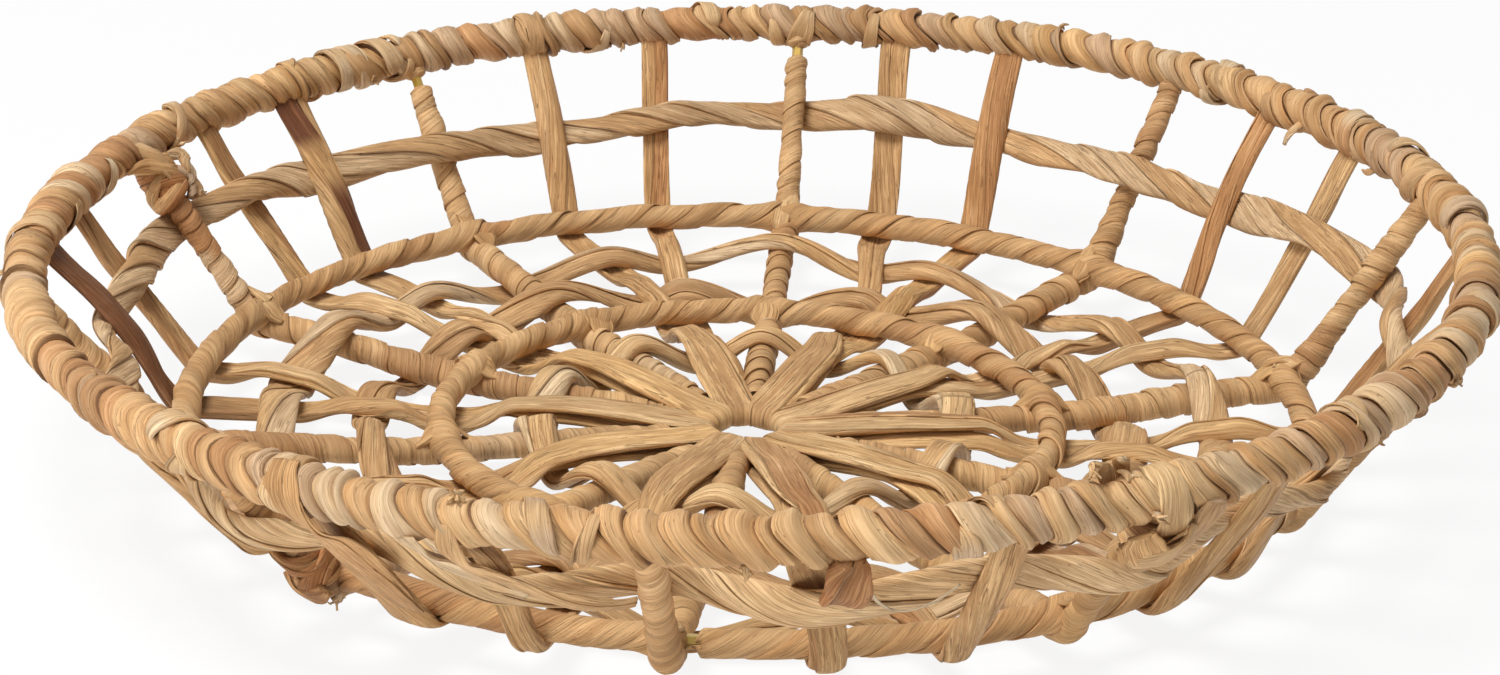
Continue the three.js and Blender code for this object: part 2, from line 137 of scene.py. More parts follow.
# Sizes of the leaf, as in the solids. A wrap is the radius of a winding.
RIM_WRAP, RING_WRAP, RIB_WRAP = 6.5 * MM, 4.4 * MM, 4.7 * MM
RIB_WRAP_START = 24 * MM  # from the basket's middle
ARM_WIDTH, LEG_WIDTH, STAVE_WIDTH, WEAVER_WIDTH = 13 * MM, 8.2 * MM, 9.7 * MM, 11.5 * MM
LEAF, STRAND, WEAVER = 3 * MM, 3.8 * MM, 4 * MM  # thicknesses on an arm, beyond it and in a weaver
STAR_WEAVER_RADIUS, INNER_WEAVER_RADIUS, OUTER_WEAVER_RADIUS = 68 * MM, 121 * MM, 150 * MM
WALL_WEAVER_REACH = 222 * MM
ARM_CLIMB = 4.4 * MM  # from the ribs' wires up to the middle of the arms' two layers
TOUCH = 0.3 * MM  # between pieces that lie on each other
INTO_RIM = 1.5 * MM  # how far ribs and staves reach into the rim's winding
RIB_CROSSING = RIB_WRAP + TOUCH + 0.2 * MM + WEAVER / 2
LEG_CROSSING = (STRAND + WEAVER + TOUCH + 2.2 * MM) / 4
UNDER_RING = BEND - RING_WRAP - TOUCH - STRAND / 2
HUB_FOLD = 2.7 * MM  # leaf drawn thin and tight over the hub ring
LEAF_SPACING = LEAF + 0.6 * MM
PRESSED = 1 * MM  # leaf lower than this is pressed flatter by the ground


# The line that ribs, strands and weavers lie along, the same as in the solids.

def smooth(part):
    part = np.clip(part, 0, 1)
    return part * part * (3 - 2 * part)


def eased(knots, place):
    """A value that eases from knot to knot, each a (place, value) in rising order."""
    places, values = np.array(knots, float).T
    span = np.clip(np.searchsorted(places, place, side="right") - 1, 0, len(places) - 2)
    part = (place - places[span]) / (places[span + 1] - places[span])
    return values[span] + (values[span + 1] - values[span]) * smooth(part)


def sag_rise(radius):
    return SAG * smooth((radius - INNER_RADIUS) / (RING_RADIUS - INNER_RADIUS))


def rim_height(azimuth):
    across = RIM_PLANE[1] * np.cos(azimuth) + RIM_PLANE[2] * np.sin(azimuth)
    return RIM_PLANE[0] + RIM_RADIUS * across


def upright_line(azimuth):
    """The line's slope on the wall, the angle where its bend ends, and its reaches there and at the rim."""
    run = RIM_RADIUS - RING_RADIUS
    rise = rim_height(azimuth) - RING_HEIGHT
    distance = np.hypot(run, rise)
    bend_end = np.arctan2(rise, run) - np.arccos(BEND / distance)
    slope = bend_end + math.pi / 2
    wall_start = RING_RADIUS + BEND * slope
    return slope, bend_end, wall_start, wall_start + np.sqrt(distance**2 - BEND**2)


def wall_span(azimuth):
    """The reaches of an upright line at the wall's foot and in the rim's middle."""
    return upright_line(azimuth)[2:]


def place_on(azimuth, reach, offset):
    """The point at a reach along the line of an azimuth, moved into the bowl by offset."""
    azimuth, reach, offset = np.broadcast_arrays(azimuth, reach, offset)
    slope, bend_end, wall_start, _ = upright_line(azimuth)
    step = 1 * MM
    base_tilt = np.arctan2(sag_rise(reach + step) - sag_rise(reach - step), 2 * step)
    bend_tilt = (reach - RING_RADIUS) / BEND
    climb = reach - wall_start
    on_wall, on_bend = reach > wall_start, reach > RING_RADIUS
    tilt = np.select([on_wall, on_bend], [slope, bend_tilt], base_tilt)
    wall_radius = RING_RADIUS + BEND * np.cos(bend_end) + climb * np.cos(slope)
    wall_height = RING_HEIGHT + BEND * np.sin(bend_end) + climb * np.sin(slope)
    bend_radius = RING_RADIUS + BEND * np.sin(bend_tilt)
    bend_height = RING_HEIGHT - BEND * np.cos(bend_tilt)
    radius = np.select([on_wall, on_bend], [wall_radius, bend_radius], reach)
    height = np.select([on_wall, on_bend], [wall_height, bend_height], BASE_HEIGHT + sag_rise(reach))
    radius = radius - offset * np.sin(tilt)
    height = height + offset * np.cos(tilt)
    return np.stack([radius * np.cos(azimuth), radius * np.sin(azimuth), height], -1)


# Seeded unevenness, as of hand work.

def spline_weights(count, knots, closed):
    """Weights that spread knots over a count of places as a smooth curve."""
    place = np.arange(count) * (knots / count if closed else (knots - 3) / max(count - 1, 1))
    index = np.minimum(place.astype(int), knots - 1 if closed else knots - 4)
    part = place - index
    parts = (
        (1 - part) ** 3,
        3 * part**3 - 6 * part**2 + 4,
        -3 * part**3 + 3 * part**2 + 3 * part + 1,
        part**3,
    )
    weights = np.zeros((count, knots))
    for shift, share in enumerate(parts):
        np.add.at(weights, (np.arange(count), (index + shift) % knots), share / 6)
    return weights


def wander(draws, count, spacing, closed=False):
    """A smooth random row of about -1 to 1, with a change of mind every so many places."""
    knots = max(4, int(round(count / spacing)))
    if not closed:
        knots += 3
    return 1.5 * spline_weights(count, knots, closed) @ draws.uniform(-1, 1, knots)


def crumple(draws, rows, columns, row_spacing, column_knots, closed=False):
    """A smooth random sheet, rows along a leaf and columns round it."""
    row_knots = max(4, int(round(rows / row_spacing))) + (0 if closed else 3)
    values = draws.uniform(-1, 1, (row_knots, column_knots))
    along = spline_weights(rows, row_knots, closed)
    around = spline_weights(columns, column_knots, True)
    return 2 * along @ values @ around.T


def unit(vectors):
    return vectors / np.linalg.norm(vectors, axis=-1, keepdims=True)


HOOP_SAMPLES = 720
PATH_STEP = 0.5 * MM  # between the points of a rib's or a strand's path


class Line:
    """A path with its length and, at each point, the ways across, through and ahead."""

    def __init__(self, points, inward, closed=False):
        self.closed = closed
        if closed:
            points = np.concatenate([points, points[:1]])
            inward = np.concatenate([inward, inward[:1]])
        steps = np.linalg.norm(np.diff(points, axis=0), axis=1)
        self.places = np.concatenate([[0], np.cumsum(steps)])
        self.length = self.places[-1]
        if closed:
            before, after = np.roll(points[:-1], 1, 0), np.roll(points[:-1], -1, 0)
            ahead = unit(after - before)
            ahead = np.concatenate([ahead, ahead[:1]])
        else:
            ahead = unit(np.gradient(points, axis=0))
        through = unit(inward - ahead * (inward * ahead).sum(1, keepdims=True))
        self.frames = np.concatenate([points, np.cross(through, ahead), through], axis=1)

    def at(self, place):
        if self.closed:
            place = np.mod(place, self.length)
        else:
            place = np.clip(place, 0, self.length)
        values = [np.interp(place, self.places, column) for column in self.frames.T]
        values = np.stack(values, -1)
        return values[..., :3], values[..., 3:6], values[..., 6:9]


def inward_of(azimuth, reach):
    return place_on(azimuth, reach, 1 * MM) - place_on(azimuth, reach, 0)


def hoop_line(radius, height_at):
    azimuth = np.arange(HOOP_SAMPLES) * TURN / HOOP_SAMPLES
    outward = np.stack([np.cos(azimuth), np.sin(azimuth), 0 * azimuth], -1)
    height = height_at(azimuth) + 0 * azimuth
    return Line(outward * radius + height[:, None] * [0, 0, 1], -outward, closed=True)


def rib_line(rib, start, end):
    reach = np.arange(start, end, PATH_STEP)
    return Line(place_on(RIBS[rib], reach, 0), inward_of(RIBS[rib], reach))


# Meshes of leaf. Each point carries its tint, its place on the leaf in millimetres, and how near
# it lies to a lap, from -1 in the shade under it to 1 on its edge.

GRAIN_ROOM = 500  # surfaces draw a third coordinate up to this, so that no two share their grain


class Leafwork:
    """Gathers the leaf surfaces of one piece."""

    def __init__(self):
        self.surfaces, self.faces, self.count = [], [], 0

    def add(self, points, tints, places, laps, faces):
        """Add a surface, pressed flat where it would reach below the ground."""
        height = points[:, 2]
        pressed = PRESSED * np.exp(np.minimum(height / PRESSED - 1, 0))
        points = np.column_stack([points[:, :2], np.where(height < PRESSED, pressed, height)])
        self.surfaces.append((points, tints, places, laps))
        self.faces += [face + self.count for face in faces]
        self.count += len(points)

    def piece(self, name, material):
        points, tints, places, laps = (np.concatenate(parts) for parts in zip(*self.surfaces))
        corners = np.concatenate([face.ravel() for face in self.faces])
        sides = np.concatenate([np.full(len(face), face.shape[1]) for face in self.faces])
        starts = np.concatenate([[0], np.cumsum(sides)[:-1]])
        mesh = bpy.data.meshes.new(name)
        mesh.vertices.add(len(points))
        mesh.vertices.foreach_set("co", points.astype(np.float32).ravel())
        mesh.loops.add(len(corners))
        mesh.loops.foreach_set("vertex_index", corners.astype(np.int32))
        mesh.polygons.add(len(sides))
        mesh.polygons.foreach_set("loop_start", starts.astype(np.int32))
        mesh.polygons.foreach_set("use_smooth", np.ones(len(sides), bool))
        mesh.update(calc_edges=True)
        tints = np.column_stack([tints, np.ones(len(tints))])
        for layer, kind, part, values in (
            ("leaf_tint", "FLOAT_COLOR", "color", tints), ("leaf_place", "FLOAT_VECTOR", "vector", places),
            ("leaf_lap", "FLOAT", "value", laps),
        ):
            data = mesh.attributes.new(layer, kind, "POINT").data
            data.foreach_set(part, values.astype(np.float32).ravel())
        mesh.validate()
        piece = bpy.data.objects.new(name, mesh)
        bpy.context.scene.collection.objects.link(piece)
        mesh.materials.append(material)
        return piece


def strip_faces(rows, columns, closed):
    """Quads of a tube with an even count of columns, joined to itself or closed at both its ends."""
    here = np.arange(rows if closed else rows - 1)[:, None] * columns
    there = (here + columns) % (rows * columns)
    side = np.arange(columns)
    after = (side + 1) % columns
    faces = [np.stack([there + side, there + after, here + after, here + side], -1).reshape(-1, 4)]
    if not closed:
        rung = np.arange(columns // 2 - 1)
        cap = np.stack([rung, rung + 1, columns - 2 - rung, columns - 1 - rung], -1)
        faces += [cap, cap[:, ::-1] + (rows - 1) * columns]
    return faces


ARC_SAMPLES = 360


def bent(value, power):
    """A power that keeps the sign, for a section between an ellipse and a box."""
    return np.sign(value) * np.abs(value) ** power


def arc_angles(wide, thick, power):
    """A table for np.interp of shares of a strip's girth and the angles there, and the girth."""
    angle = np.arange(ARC_SAMPLES + 1) * TURN / ARC_SAMPLES
    sideways, upwards = wide * bent(np.cos(angle), power), thick * bent(np.sin(angle), power)
    steps = np.hypot(np.diff(sideways), np.diff(upwards))
    girth = np.concatenate([[0], np.cumsum(steps)])
    return girth / girth[-1], angle, girth[-1]


def lap_columns(laps, spacing, hang):
    """Columns round a strip: their shares of its girth, heights from -0.5 to 0.5 and marks.

    At each lap the leaf tucks under the edge of its next fold, which reaches back over it."""
    shares, rises, marks = [], [], []
    for lap, start in enumerate(laps):
        end = laps[lap + 1] if lap + 1 < len(laps) else laps[0] + 1
        last = end - hang
        count = max(3, int(round((last - start) / spacing)))
        inner = np.linspace(start, last - 0.8 * spacing, count)
        shares += [*inner, last, end, last, last + 0.15 * hang]
        part = (inner - start) / (end - start)
        rises += [*(0.5 - part), -0.45, -0.5, -0.25, 0.42]
        marks += [0.35, *np.zeros(count - 1), -0.9, -1.0, -1.0, 1.0]
    if len(shares) % 2:
        shares, rises, marks = (
            [*row[:1], (row[0] + row[1]) / 2, *row[1:]] for row in (shares, rises, marks)
        )
    return np.array(shares), np.array(rises), np.array(marks)


def grooves(noise, width):
    """Thin creases along the level lines of a noise: 1 in a crease and 0 beside it."""
    return np.clip(1 - np.abs(noise) / width, 0, 1) ** 1.5


STRIP_STEP = 1.1 * MM  # between the rows of a strip


def strip_rows(line, step=STRIP_STEP):
    return int(line.length / step) + (0 if line.closed else 1)


def folded_strip(work, line, half_width, half_thickness, twist, look, draws, step=STRIP_STEP):
    """A strip of leaf folded lengthwise: its laps run along it and turn with its twist.

    The half sizes, and the twist in turns, are functions of the share of the length."""
    closed = line.closed
    rows = strip_rows(line, step)
    share = np.arange(rows) / (rows if closed else rows - 1)
    place = share * line.length
    centre, across, through = line.at(place)
    wide, thick, spin = half_width(share), half_thickness(share), twist(share)
    power = look["squareness"]
    table, angles, girth = arc_angles(wide.mean(), thick.mean(), power)
    shares, rises, marks = lap_columns(look["laps"], look["spacing"] / girth, look["hang"] / girth)
    columns = len(shares)

    def sheet(length, knots):
        return crumple(draws, rows, columns, length * MM / step, knots, closed)

    def row_wander(length):
        return wander(draws, rows, length * MM / step, closed)[:, None]

    turned = spin[:, None] + shares + look["lap_sway"] / girth * row_wander(34)
    angle = np.interp(np.mod(turned, 1), table, angles)
    crease = grooves(sheet(60, look["creases"]), 0.20) * np.clip(0.5 + 0.9 * sheet(20, 5), 0, 1)
    high = look["lap"] * rises * (1 + 0.6 * row_wander(20)) + look["fold"] * sheet(22, 5)
    high = high + look["pleat"] * sheet(30, columns // 3) - look["crease"] * crease
    cosine, sine = np.cos(angle), np.sin(angle)
    wide, thick = wide[:, None], thick[:, None]
    out, up = bent(cosine, 2 - power) / wide, bent(sine, 2 - power) / thick
    steep = np.hypot(out, up)
    sideways = wide * bent(cosine, power) + high * out / steep
    upwards = thick * bent(sine, power) + high * up / steep
    upwards = upwards + look["curl"] * row_wander(35) * (cosine**2 - 0.5) * wide
    if "cup" in look:
        upwards = upwards + look["cup"](share)[:, None] * (cosine**2 - 0.3)
    points = centre[:, None] + across[:, None] * sideways[..., None]
    points = points + through[:, None] * upwards[..., None]

    tint = leaf_tints(look, draws, rows, shares, closed)
    along = (place / MM)[:, None] + np.zeros(columns)
    over = shares * girth / MM + np.zeros((rows, 1))
    places = np.stack([along, over, np.full_like(along, draws.uniform(0, GRAIN_ROOM))], -1)
    marks = look["marks"] * marks * np.clip(0.75 + 0.6 * sheet(16, 6), 0.1, 1)
    marks = marks - look["crease_shade"] * crease
    flat = (values.reshape(-1, 3) for values in (points, tint, places))
    work.add(*flat, marks.ravel(), strip_faces(rows, columns, closed))


def picked(look, draws):
    """One of a look's tints, drawn by its share and drawn in towards their mean."""
    tints = np.array([tint for tint, _ in look["tints"]])
    shares = np.array([share for _, share in look["tints"]])
    mean = shares @ tints / shares.sum()
    chosen = tints[np.searchsorted(np.cumsum(shares), draws.uniform(0, shares.sum()))]
    return mean + (chosen - mean) * look["contrast"]


def leaf_tints(look, draws, rows, shares, closed):
    """A tint for each point of a folded strip: each fold has its own, and drifts along the strip."""
    laps = look["laps"]
    fold_of = (np.searchsorted(laps, np.mod(shares, 1), side="right") - 1) % len(laps)
    result = np.zeros((rows, len(shares), 3))
    for fold in range(len(laps)):
        first, second = picked(look, draws), picked(look, draws)
        drift = smooth(0.5 + 0.9 * wander(draws, rows, max(rows / 5, 4), closed))[:, None]
        mixed = first * (1 - drift) + second * drift
        for near, tint, folds in look.get("end_tints", ()):
            if fold in folds:
                mixed = mixed + (tint - mixed) * near[:, None]
        result[:, fold_of == fold] = mixed[:, None]
    drift = crumple(draws, rows, len(shares), 40, 5, closed)
    return result * (1 + 0.10 * drift[..., None])


def turn_edges(line, look, draws, laps, steps, wandering):
    """Where a winding's rows begin and end on its line, and the rows that lie beside them."""
    starts, closed = look["starts"], line.closed
    edges = np.cumsum(np.exp(look["unevenness"] * draws.uniform(-1, 1, laps)))
    edges = np.concatenate([[0], edges])
    edges *= line.length / edges[-1]
    count = laps * steps + (0 if closed else 1)
    row = np.arange(count)
    turn, part, kappa = row // steps, (row % steps) / steps, row / steps
    slant = look["slant"] * (1 + 0.7 * wandering(1.8))
    sway = look["sway"] * wandering(0.5) - slant * np.sin(2 * kappa * TURN)
    if closed:
        beside = (turn + pow(starts, -1, laps)) % laps * steps + row % steps
        lap = turn * starts % laps
        further = (lap + starts) // laps * line.length + edges[(lap + starts) % laps]
        begin = edges[lap] * (1 - part) + further * part + sway
        finish = begin[beside]
        finish = finish + line.length * np.round((begin + look["pitch"] - finish) / line.length)
    else:
        beside = np.minimum(row + steps, count - 1)
        fade = smooth(kappa) * smooth(laps - kappa)
        begin = np.interp(kappa, np.arange(laps + 1), edges) + sway * fade
        finish = np.where(row + steps < count, begin[beside], line.length)
    return begin, np.maximum(finish, begin + 0.2 * look["pitch"]), beside


def wound_faces(index, beside, steps, closed):
    """Quads along a winding and from each turn to the one beside it, and the ends' fans of triangles
    to two further points."""
    count = len(index)
    row = np.arange(count)
    here, there = (row, (row + 1) % count) if closed else (row[:-1], row[1:])
    quads = np.stack([index[here, :-1], index[here, 1:], index[there, 1:], index[there, :-1]], -1)
    joined = row if closed else row[: count - 1 - steps]
    after = (joined + 1) % count
    links = [index[joined, -1], index[beside[joined], 0], index[beside[after], 0], index[after, -1]]
    faces = [np.concatenate([quads.reshape(-1, 4), np.stack(links, -1)])]
    if not closed:
        start_loop = np.concatenate([index[: steps + 1, 0], index[0, :0:-1]])
        end_loop = np.concatenate([index[count - 1 - steps :, -1], index[-1, -2::-1]])
        faces += [fan(start_loop, index.size), fan(end_loop, index.size + 1)[:, ::-1]]
    return faces


def wound_leaf(work, line, radius_at, look, draws, hand, steps):
    """Leaf wound on a line in overlapping turns, as one closed screw-shaped surface.

    Each turn starts in an edge that lies on the turn beside it, and ends under the next. It takes
    the strip so many steps. On a closed line the strip may advance by several laps a turn, and fills
    in between on later rounds."""
    profile, closed = look["profile"], line.closed
    laps = max(3, int(round(line.length / look["pitch"])))
    while closed and math.gcd(laps, look["starts"]) > 1:
        laps += 1
    count = laps * steps + (0 if closed else 1)
    kappa = np.arange(count) / steps

    def wandering(turns):
        return wander(draws, count, steps * turns, closed)

    begin, finish, beside = turn_edges(line, look, draws, laps, steps, wandering)
    share = np.linspace(0, 1, profile) ** 0.9
    pitch = finish - begin
    place = begin[:, None] + pitch[:, None] * share
    lap_high = look["lap"] * (1 + 0.55 * wandering(0.6))[:, None]
    bulge = look["bulge"] * (1 + 0.6 * wandering(1.1))[:, None]
    high = lap_high * (1 - share) ** 0.8 + bulge * np.sin(math.pi * share**0.85)
    hang = look["overhang"] * (1 + 0.5 * wandering(0.3))[:, None]
    edge_places = begin[:, None] - hang * np.array([0, 1, 0.85])
    place = np.concatenate([edge_places, place], 1)
    high = np.concatenate([lap_high * np.array([0.12, 0.5, 0.95]), high], 1)
    columns = profile + 3

    def sheet(turns, knots):
        return crumple(draws, count, columns, steps * turns, knots, closed)

    window = np.concatenate([[0, 0, 0.3], np.clip(3 * np.sin(math.pi * share), 0, 1)])
    dents, pleats = sheet(0.35, 5), sheet(0.6, columns // 2)
    crease = grooves(sheet(0.7, 6), 0.3) * window * np.clip(0.4 + sheet(0.5, 4), 0, 1)
    high = high + (look["dent"] * dents + look["pleat"] * pleats) * window - look["crease"] * crease
    swell = 1 + look["swell"] * wandering(1.4)[:, None]
    angle = hand * kappa * TURN
    squeeze = 1 + look["squeeze"] * np.cos(2 * angle + 3 * wandering(3))[:, None]
    radius = radius_at(place) * swell * squeeze + high
    centre, across, through = line.at(place)
    ways = across * np.cos(angle)[:, None, None] + through * np.sin(angle)[:, None, None]
    points = centre + ways * radius[..., None]

    tint = wound_tints(look, draws, kappa, laps, share, closed)
    tint = np.concatenate([tint[:, :1], tint[:, :1], tint[:, :1], tint], 1)
    along = (kappa * TURN * float(np.mean(radius)) / MM)[:, None] + 0 * place
    over = np.concatenate([[0, -0.1, -0.08], share]) * float(pitch.mean()) / MM + 0 * place
    places = np.stack([along, over, np.full_like(place, draws.uniform(0, GRAIN_ROOM))], -1)
    near_end = (finish[:, None] - hang - place[:, 3:]) / MM
    marks = np.interp(near_end, [-0.3, 0.0, look["shade_width"]], [-1, -0.9, 0])
    marks = marks + np.interp(share, [0, 0.09], [0.5, 0])
    marks = np.concatenate([np.full((count, 1), -1.0), np.ones((count, 2)), marks], 1)
    marks = look["marks"] * marks * np.clip(0.85 + 0.5 * wandering(0.4)[:, None], 0.3, 1)
    marks = (marks - look["crease_shade"] * crease).ravel()

    points, tint, places = (values.reshape(-1, 3) for values in (points, tint, places))
    if not closed:
        points = np.concatenate([points, line.at(np.array([0.0, line.length]))[0]])
        tint, places = (np.concatenate([values, values[:1], values[-1:]]) for values in (tint, places))
        marks = np.concatenate([marks, [-1, -1]])
    faces = wound_faces(np.arange(count * columns).reshape(count, columns), beside, steps, closed)
    if hand > 0:
        faces = [face[:, ::-1] for face in faces]
    work.add(points, tint, places, marks, faces)


def fan(loop, middle):
    """Triangles from a loop of points to a point in its middle."""
    return np.stack([loop, np.roll(loop, -1), np.full(len(loop), middle)], -1)


def wound_tints(look, draws, kappa, turns, share, closed):
    """Tints of a winding: each strip of leaf lasts a turn or a few, and changes below."""
    picks, left = [], 0
    for turn in range(turns):
        if left <= 0:
            on_wall = "wall_tints" in look and turn > 0.7 * turns
            chosen = picked({**look, "tints": look["wall_tints"]} if on_wall else look, draws)
            left = draws.integers(1, look["strip_turns"] + 1)
        left -= 1
        picks.append(chosen * (1 + 0.08 * draws.uniform(-1, 1)))
    picks = np.array(picks)
    index = np.floor(kappa).astype(int)
    part = smooth((kappa - index) * 5)[:, None]
    mode = "wrap" if closed else "clip"
    before, after = (np.take(picks, turn, 0, mode=mode) for turn in (index - 1, index))
    mixed = before * (1 - part) + after * part
    # Each turn is lighter in its middle and darker and warmer towards its edges: partly the leaf's own
    # warmer edges, partly painted shade on the rounded turn's sides with a painted highlight in its middle.
    from_middle = 1 - np.sin(math.pi * share)
    across = 1.04 - look["warmth"] * from_middle[:, None] * np.array([0.13, 0.22, 0.34])
    drift = crumple(draws, len(kappa), len(share), 12, 5, closed)
    return mixed[:, None] * across * (1 + 0.09 * drift[..., None])


# Finishes.

class Value:
    """A shader value that can stand in a Python expression."""

    def __init__(self, finish, socket):
        self.finish, self.socket = finish, socket

    def worked(self, operation, *values):
        node = self.finish.node("ShaderNodeMath", dict(enumerate(values)), operation=operation)
        return Value(self.finish, node.outputs[0])

    def __add__(self, other):
        return self.worked("ADD", self, other)

    def __sub__(self, other):
        return self.worked("SUBTRACT", self, other)

    def __rsub__(self, other):
        return self.worked("SUBTRACT", other, self)

    def __mul__(self, other):
        return self.worked("MULTIPLY", self, other)

    def __truediv__(self, other):
        return self.worked("DIVIDE", self, other)

    __radd__, __rmul__ = __add__, __mul__


class Finish:
    """A material, or the world, in the making."""

    def __init__(self, name, world=None):
        self.material = world or bpy.data.materials.new(name)
        self.material.use_nodes = True
        self.nodes = self.material.node_tree.nodes
        self.links = self.material.node_tree.links
        self.nodes.clear()

    def node(self, kind, inputs=None, **settings):
        node = self.nodes.new(kind)
        for name, setting in settings.items():
            setattr(node, name, setting)
        for name, value in (inputs or {}).items():
            if isinstance(value, Value):
                self.links.new(value.socket, node.inputs[name])
            else:
                node.inputs[name].default_value = value
        return node

    def value(self, node, output=0):
        return Value(self, node.outputs[output])

    def attribute(self, name, output):
        return self.value(self.node("ShaderNodeAttribute", attribute_name=name), output)

    def vector(self, x, y, z):
        return self.value(self.node("ShaderNodeCombineXYZ", {0: x, 1: y, 2: z}))

    def noise(self, place, scale, detail=2.0, rough=0.5):
        inputs = {"Vector": place, "Scale": scale, "Detail": detail, "Roughness": rough}
        return self.value(self.node("ShaderNodeTexNoise", inputs))

    def distance(self, value, middle):
        """How far a value is from a middle one."""
        difference = value - middle
        return difference.worked("ABSOLUTE", difference)

    def between(self, value, low, high):
        """0 below low, 1 above high, and a smooth step between."""
        inputs = {0: value, 1: low, 2: high}
        return self.value(self.node("ShaderNodeMapRange", inputs, interpolation_type="SMOOTHSTEP"))

    def mixed(self, blend, factor, first, second):
        inputs = {0: factor, 6: first, 7: second}
        return self.value(self.node("ShaderNodeMix", inputs, data_type="RGBA", blend_type=blend), 2)

    def surface(self, colour, roughness, settings, height, strength, distance):
        bump = {"Height": height, "Strength": strength, "Distance": distance}
        bump = self.value(self.node("ShaderNodeBump", bump))
        inputs = {"Base Color": colour, "Roughness": roughness, "Normal": bump, **settings}
        shader = self.node("ShaderNodeBsdfPrincipled", inputs)
        self.node("ShaderNodeOutputMaterial", {"Surface": self.value(shader)})
        return self.material


# The last argument sets how strongly shade is painted under the laps and in the creases: the leaf is
# darkened towards the shade colour there, where shade falls.
def leaf_finish(name, colours, fibre=1.0, streak=0.5, dust=0.88):
    """Dried leaf: fibres, hair cracks and darker streaks along the strip, and shade under its laps."""
    make = Finish(name)
    place = make.attribute("leaf_place", "Vector")
    split = make.node("ShaderNodeSeparateXYZ", {0: place})
    along, across, layer = (make.value(split, index) for index in range(3))
    tint = make.attribute("leaf_tint", "Color")
    lap = make.attribute("leaf_lap", "Fac")

    def grain(length, width, shift, detail=2.0, rough=0.5):
        """Noise whose grains are about so many millimetres long and wide on the leaf."""
        return make.noise(make.vector(along / length, across / width, layer + shift), 1.0, detail, rough)

    fine = grain(11.0, 0.40, 0.0, 3.0, 0.65)
    coarse = grain(34.0, 1.25, 19.0, 3.0, 0.6)
    crack = grain(26.0, 1.2, 31.0, 2.0, 0.5)
    streaks = grain(55.0, 2.2, 57.0, 4.0, 0.65)
    cloud = grain(22.0, 7.0, 83.0, 4.0, 0.6)
    speck = grain(1.6, 0.9, 11.0, 1.0, 0.5)
    light = make.between(fine, 0.30, 0.70) * (0.34 * fibre) + (1 - 0.17 * fibre)
    light = light * (make.between(coarse, 0.32, 0.68) * (0.30 * fibre) + (1 - 0.15 * fibre))
    light = light * (make.between(cloud, 0.25, 0.75) * 0.34 + 0.84)
    cracks = 1 - make.between(make.distance(crack, 0.5), 0.006, 0.028)
    cracks = cracks * make.between(coarse, 0.40, 0.62)
    streaked = make.between(streaks, 0.54, 0.72) * streak
    specks = make.between(speck, 0.70, 0.78)
    shaded = make.between(lap * -1.0, 0.15, 1.0)
    edge = make.between(lap, 0.4, 1.0)
    warm = {0: light, 1: light * (light * 0.25 + 0.75), 2: light * (light * 0.5 + 0.48)}
    grey = make.value(make.node("ShaderNodeCombineColor", warm))
    pale, vein, shade, red = (
        tuple(getattr(colours, part)) + (1,) for part in ("pale", "vein", "shade", "russet")
    )
    colour = make.mixed("MULTIPLY", 1.0, tint, grey)
    colour = make.mixed("MIX", make.between(cloud, 0.60, 0.80) * 0.22, colour, pale)
    colour = make.mixed("MIX", streaked * 0.55, colour, red)
    colour = make.mixed("MIX", cracks * (0.5 * fibre), colour, vein)
    colour = make.mixed("MIX", specks * 0.45, colour, vein)
    # Painted shade: under the laps and in the creases the leaf is darkened towards the shade colour.
    colour = make.mixed("MIX", shaded * dust, colour, shade)
    colour = make.mixed("MIX", edge * 0.28, colour, pale)
    rough = make.between(fine, 0.3, 0.7) * -0.14 + cloud * 0.16 + 0.54
    height = fine * 0.6 + coarse * 0.8 - cracks * 0.7
    return make.surface(colour, rough, {"Specular IOR Level": 0.14}, height, 0.9, 0.44 * MM)


def lacquer_finish(colours):
    """Ochre lacquer over rod: glossy, a little uneven, with the steel's grey in its chips."""
    make = Finish("ochre_lacquer")
    place = make.value(make.node("ShaderNodeTexCoord"), 3)
    cloud = make.noise(place, 90.0, 3.0)
    chips = make.between(make.noise(place, 420.0, 2.0), 0.68, 0.72)
    lacquer = tuple(colours.lacquer)
    deeper = tuple(0.62 * part for part in lacquer) + (1,)
    colour = make.mixed("MIX", make.between(cloud, 0.35, 0.7), lacquer + (1,), deeper)
    colour = make.mixed("MIX", chips * 0.8, colour, (0.11, 0.10, 0.09, 1))
    rough = cloud * 0.2 + chips * 0.3 + 0.2
    settings = {"Metallic": 0.25, "Coat Weight": 0.35}
    return make.surface(colour, rough, settings, cloud - chips * 0.5, 0.4, 0.1 * MM)


# What a user would change.

def length_property(name, text, default):
    return bpy.props.FloatProperty(
        name=name, description=text, default=default, min=0.0, unit="LENGTH", subtype="DISTANCE"
    )


def share_property(name, text, default):
    return bpy.props.FloatProperty(
        name=name, description=text, default=default, min=0.0, max=1.0, subtype="FACTOR"
    )


def colour_property(name, text, default):
    return bpy.props.FloatVectorProperty(
        name=name, description=text, default=default, min=0.0, max=1.0, size=3, subtype="COLOR"
    )


class BasketSizes(bpy.types.PropertyGroup):
    rim_pitch: length_property("Rim Turn", "Width of a turn of leaf on the rim", 7.7 * MM)
    ring_pitch: length_property("Base Ring Turn", "Width of a turn on the base ring", 16.0 * MM)
    inner_pitch: length_property("Inner Ring Turn", "Width of a turn on the inner ring", 12.0 * MM)
    rib_pitch: length_property("Rib Turn", "Width of a turn of leaf on a rib", 8.0 * MM)
    lap: length_property("Lap", "How far a turn stands on the turn before it", 0.8 * MM)
    overhang: length_property("Overhang", "How far a turn's edge reaches over its lap", 0.8 * MM)
    twist_length: length_property("Twist", "Length of weaver in which its leaf turns once", 76 * MM)
    unevenness: share_property("Unevenness", "How much the widths of the turns differ", 0.3)


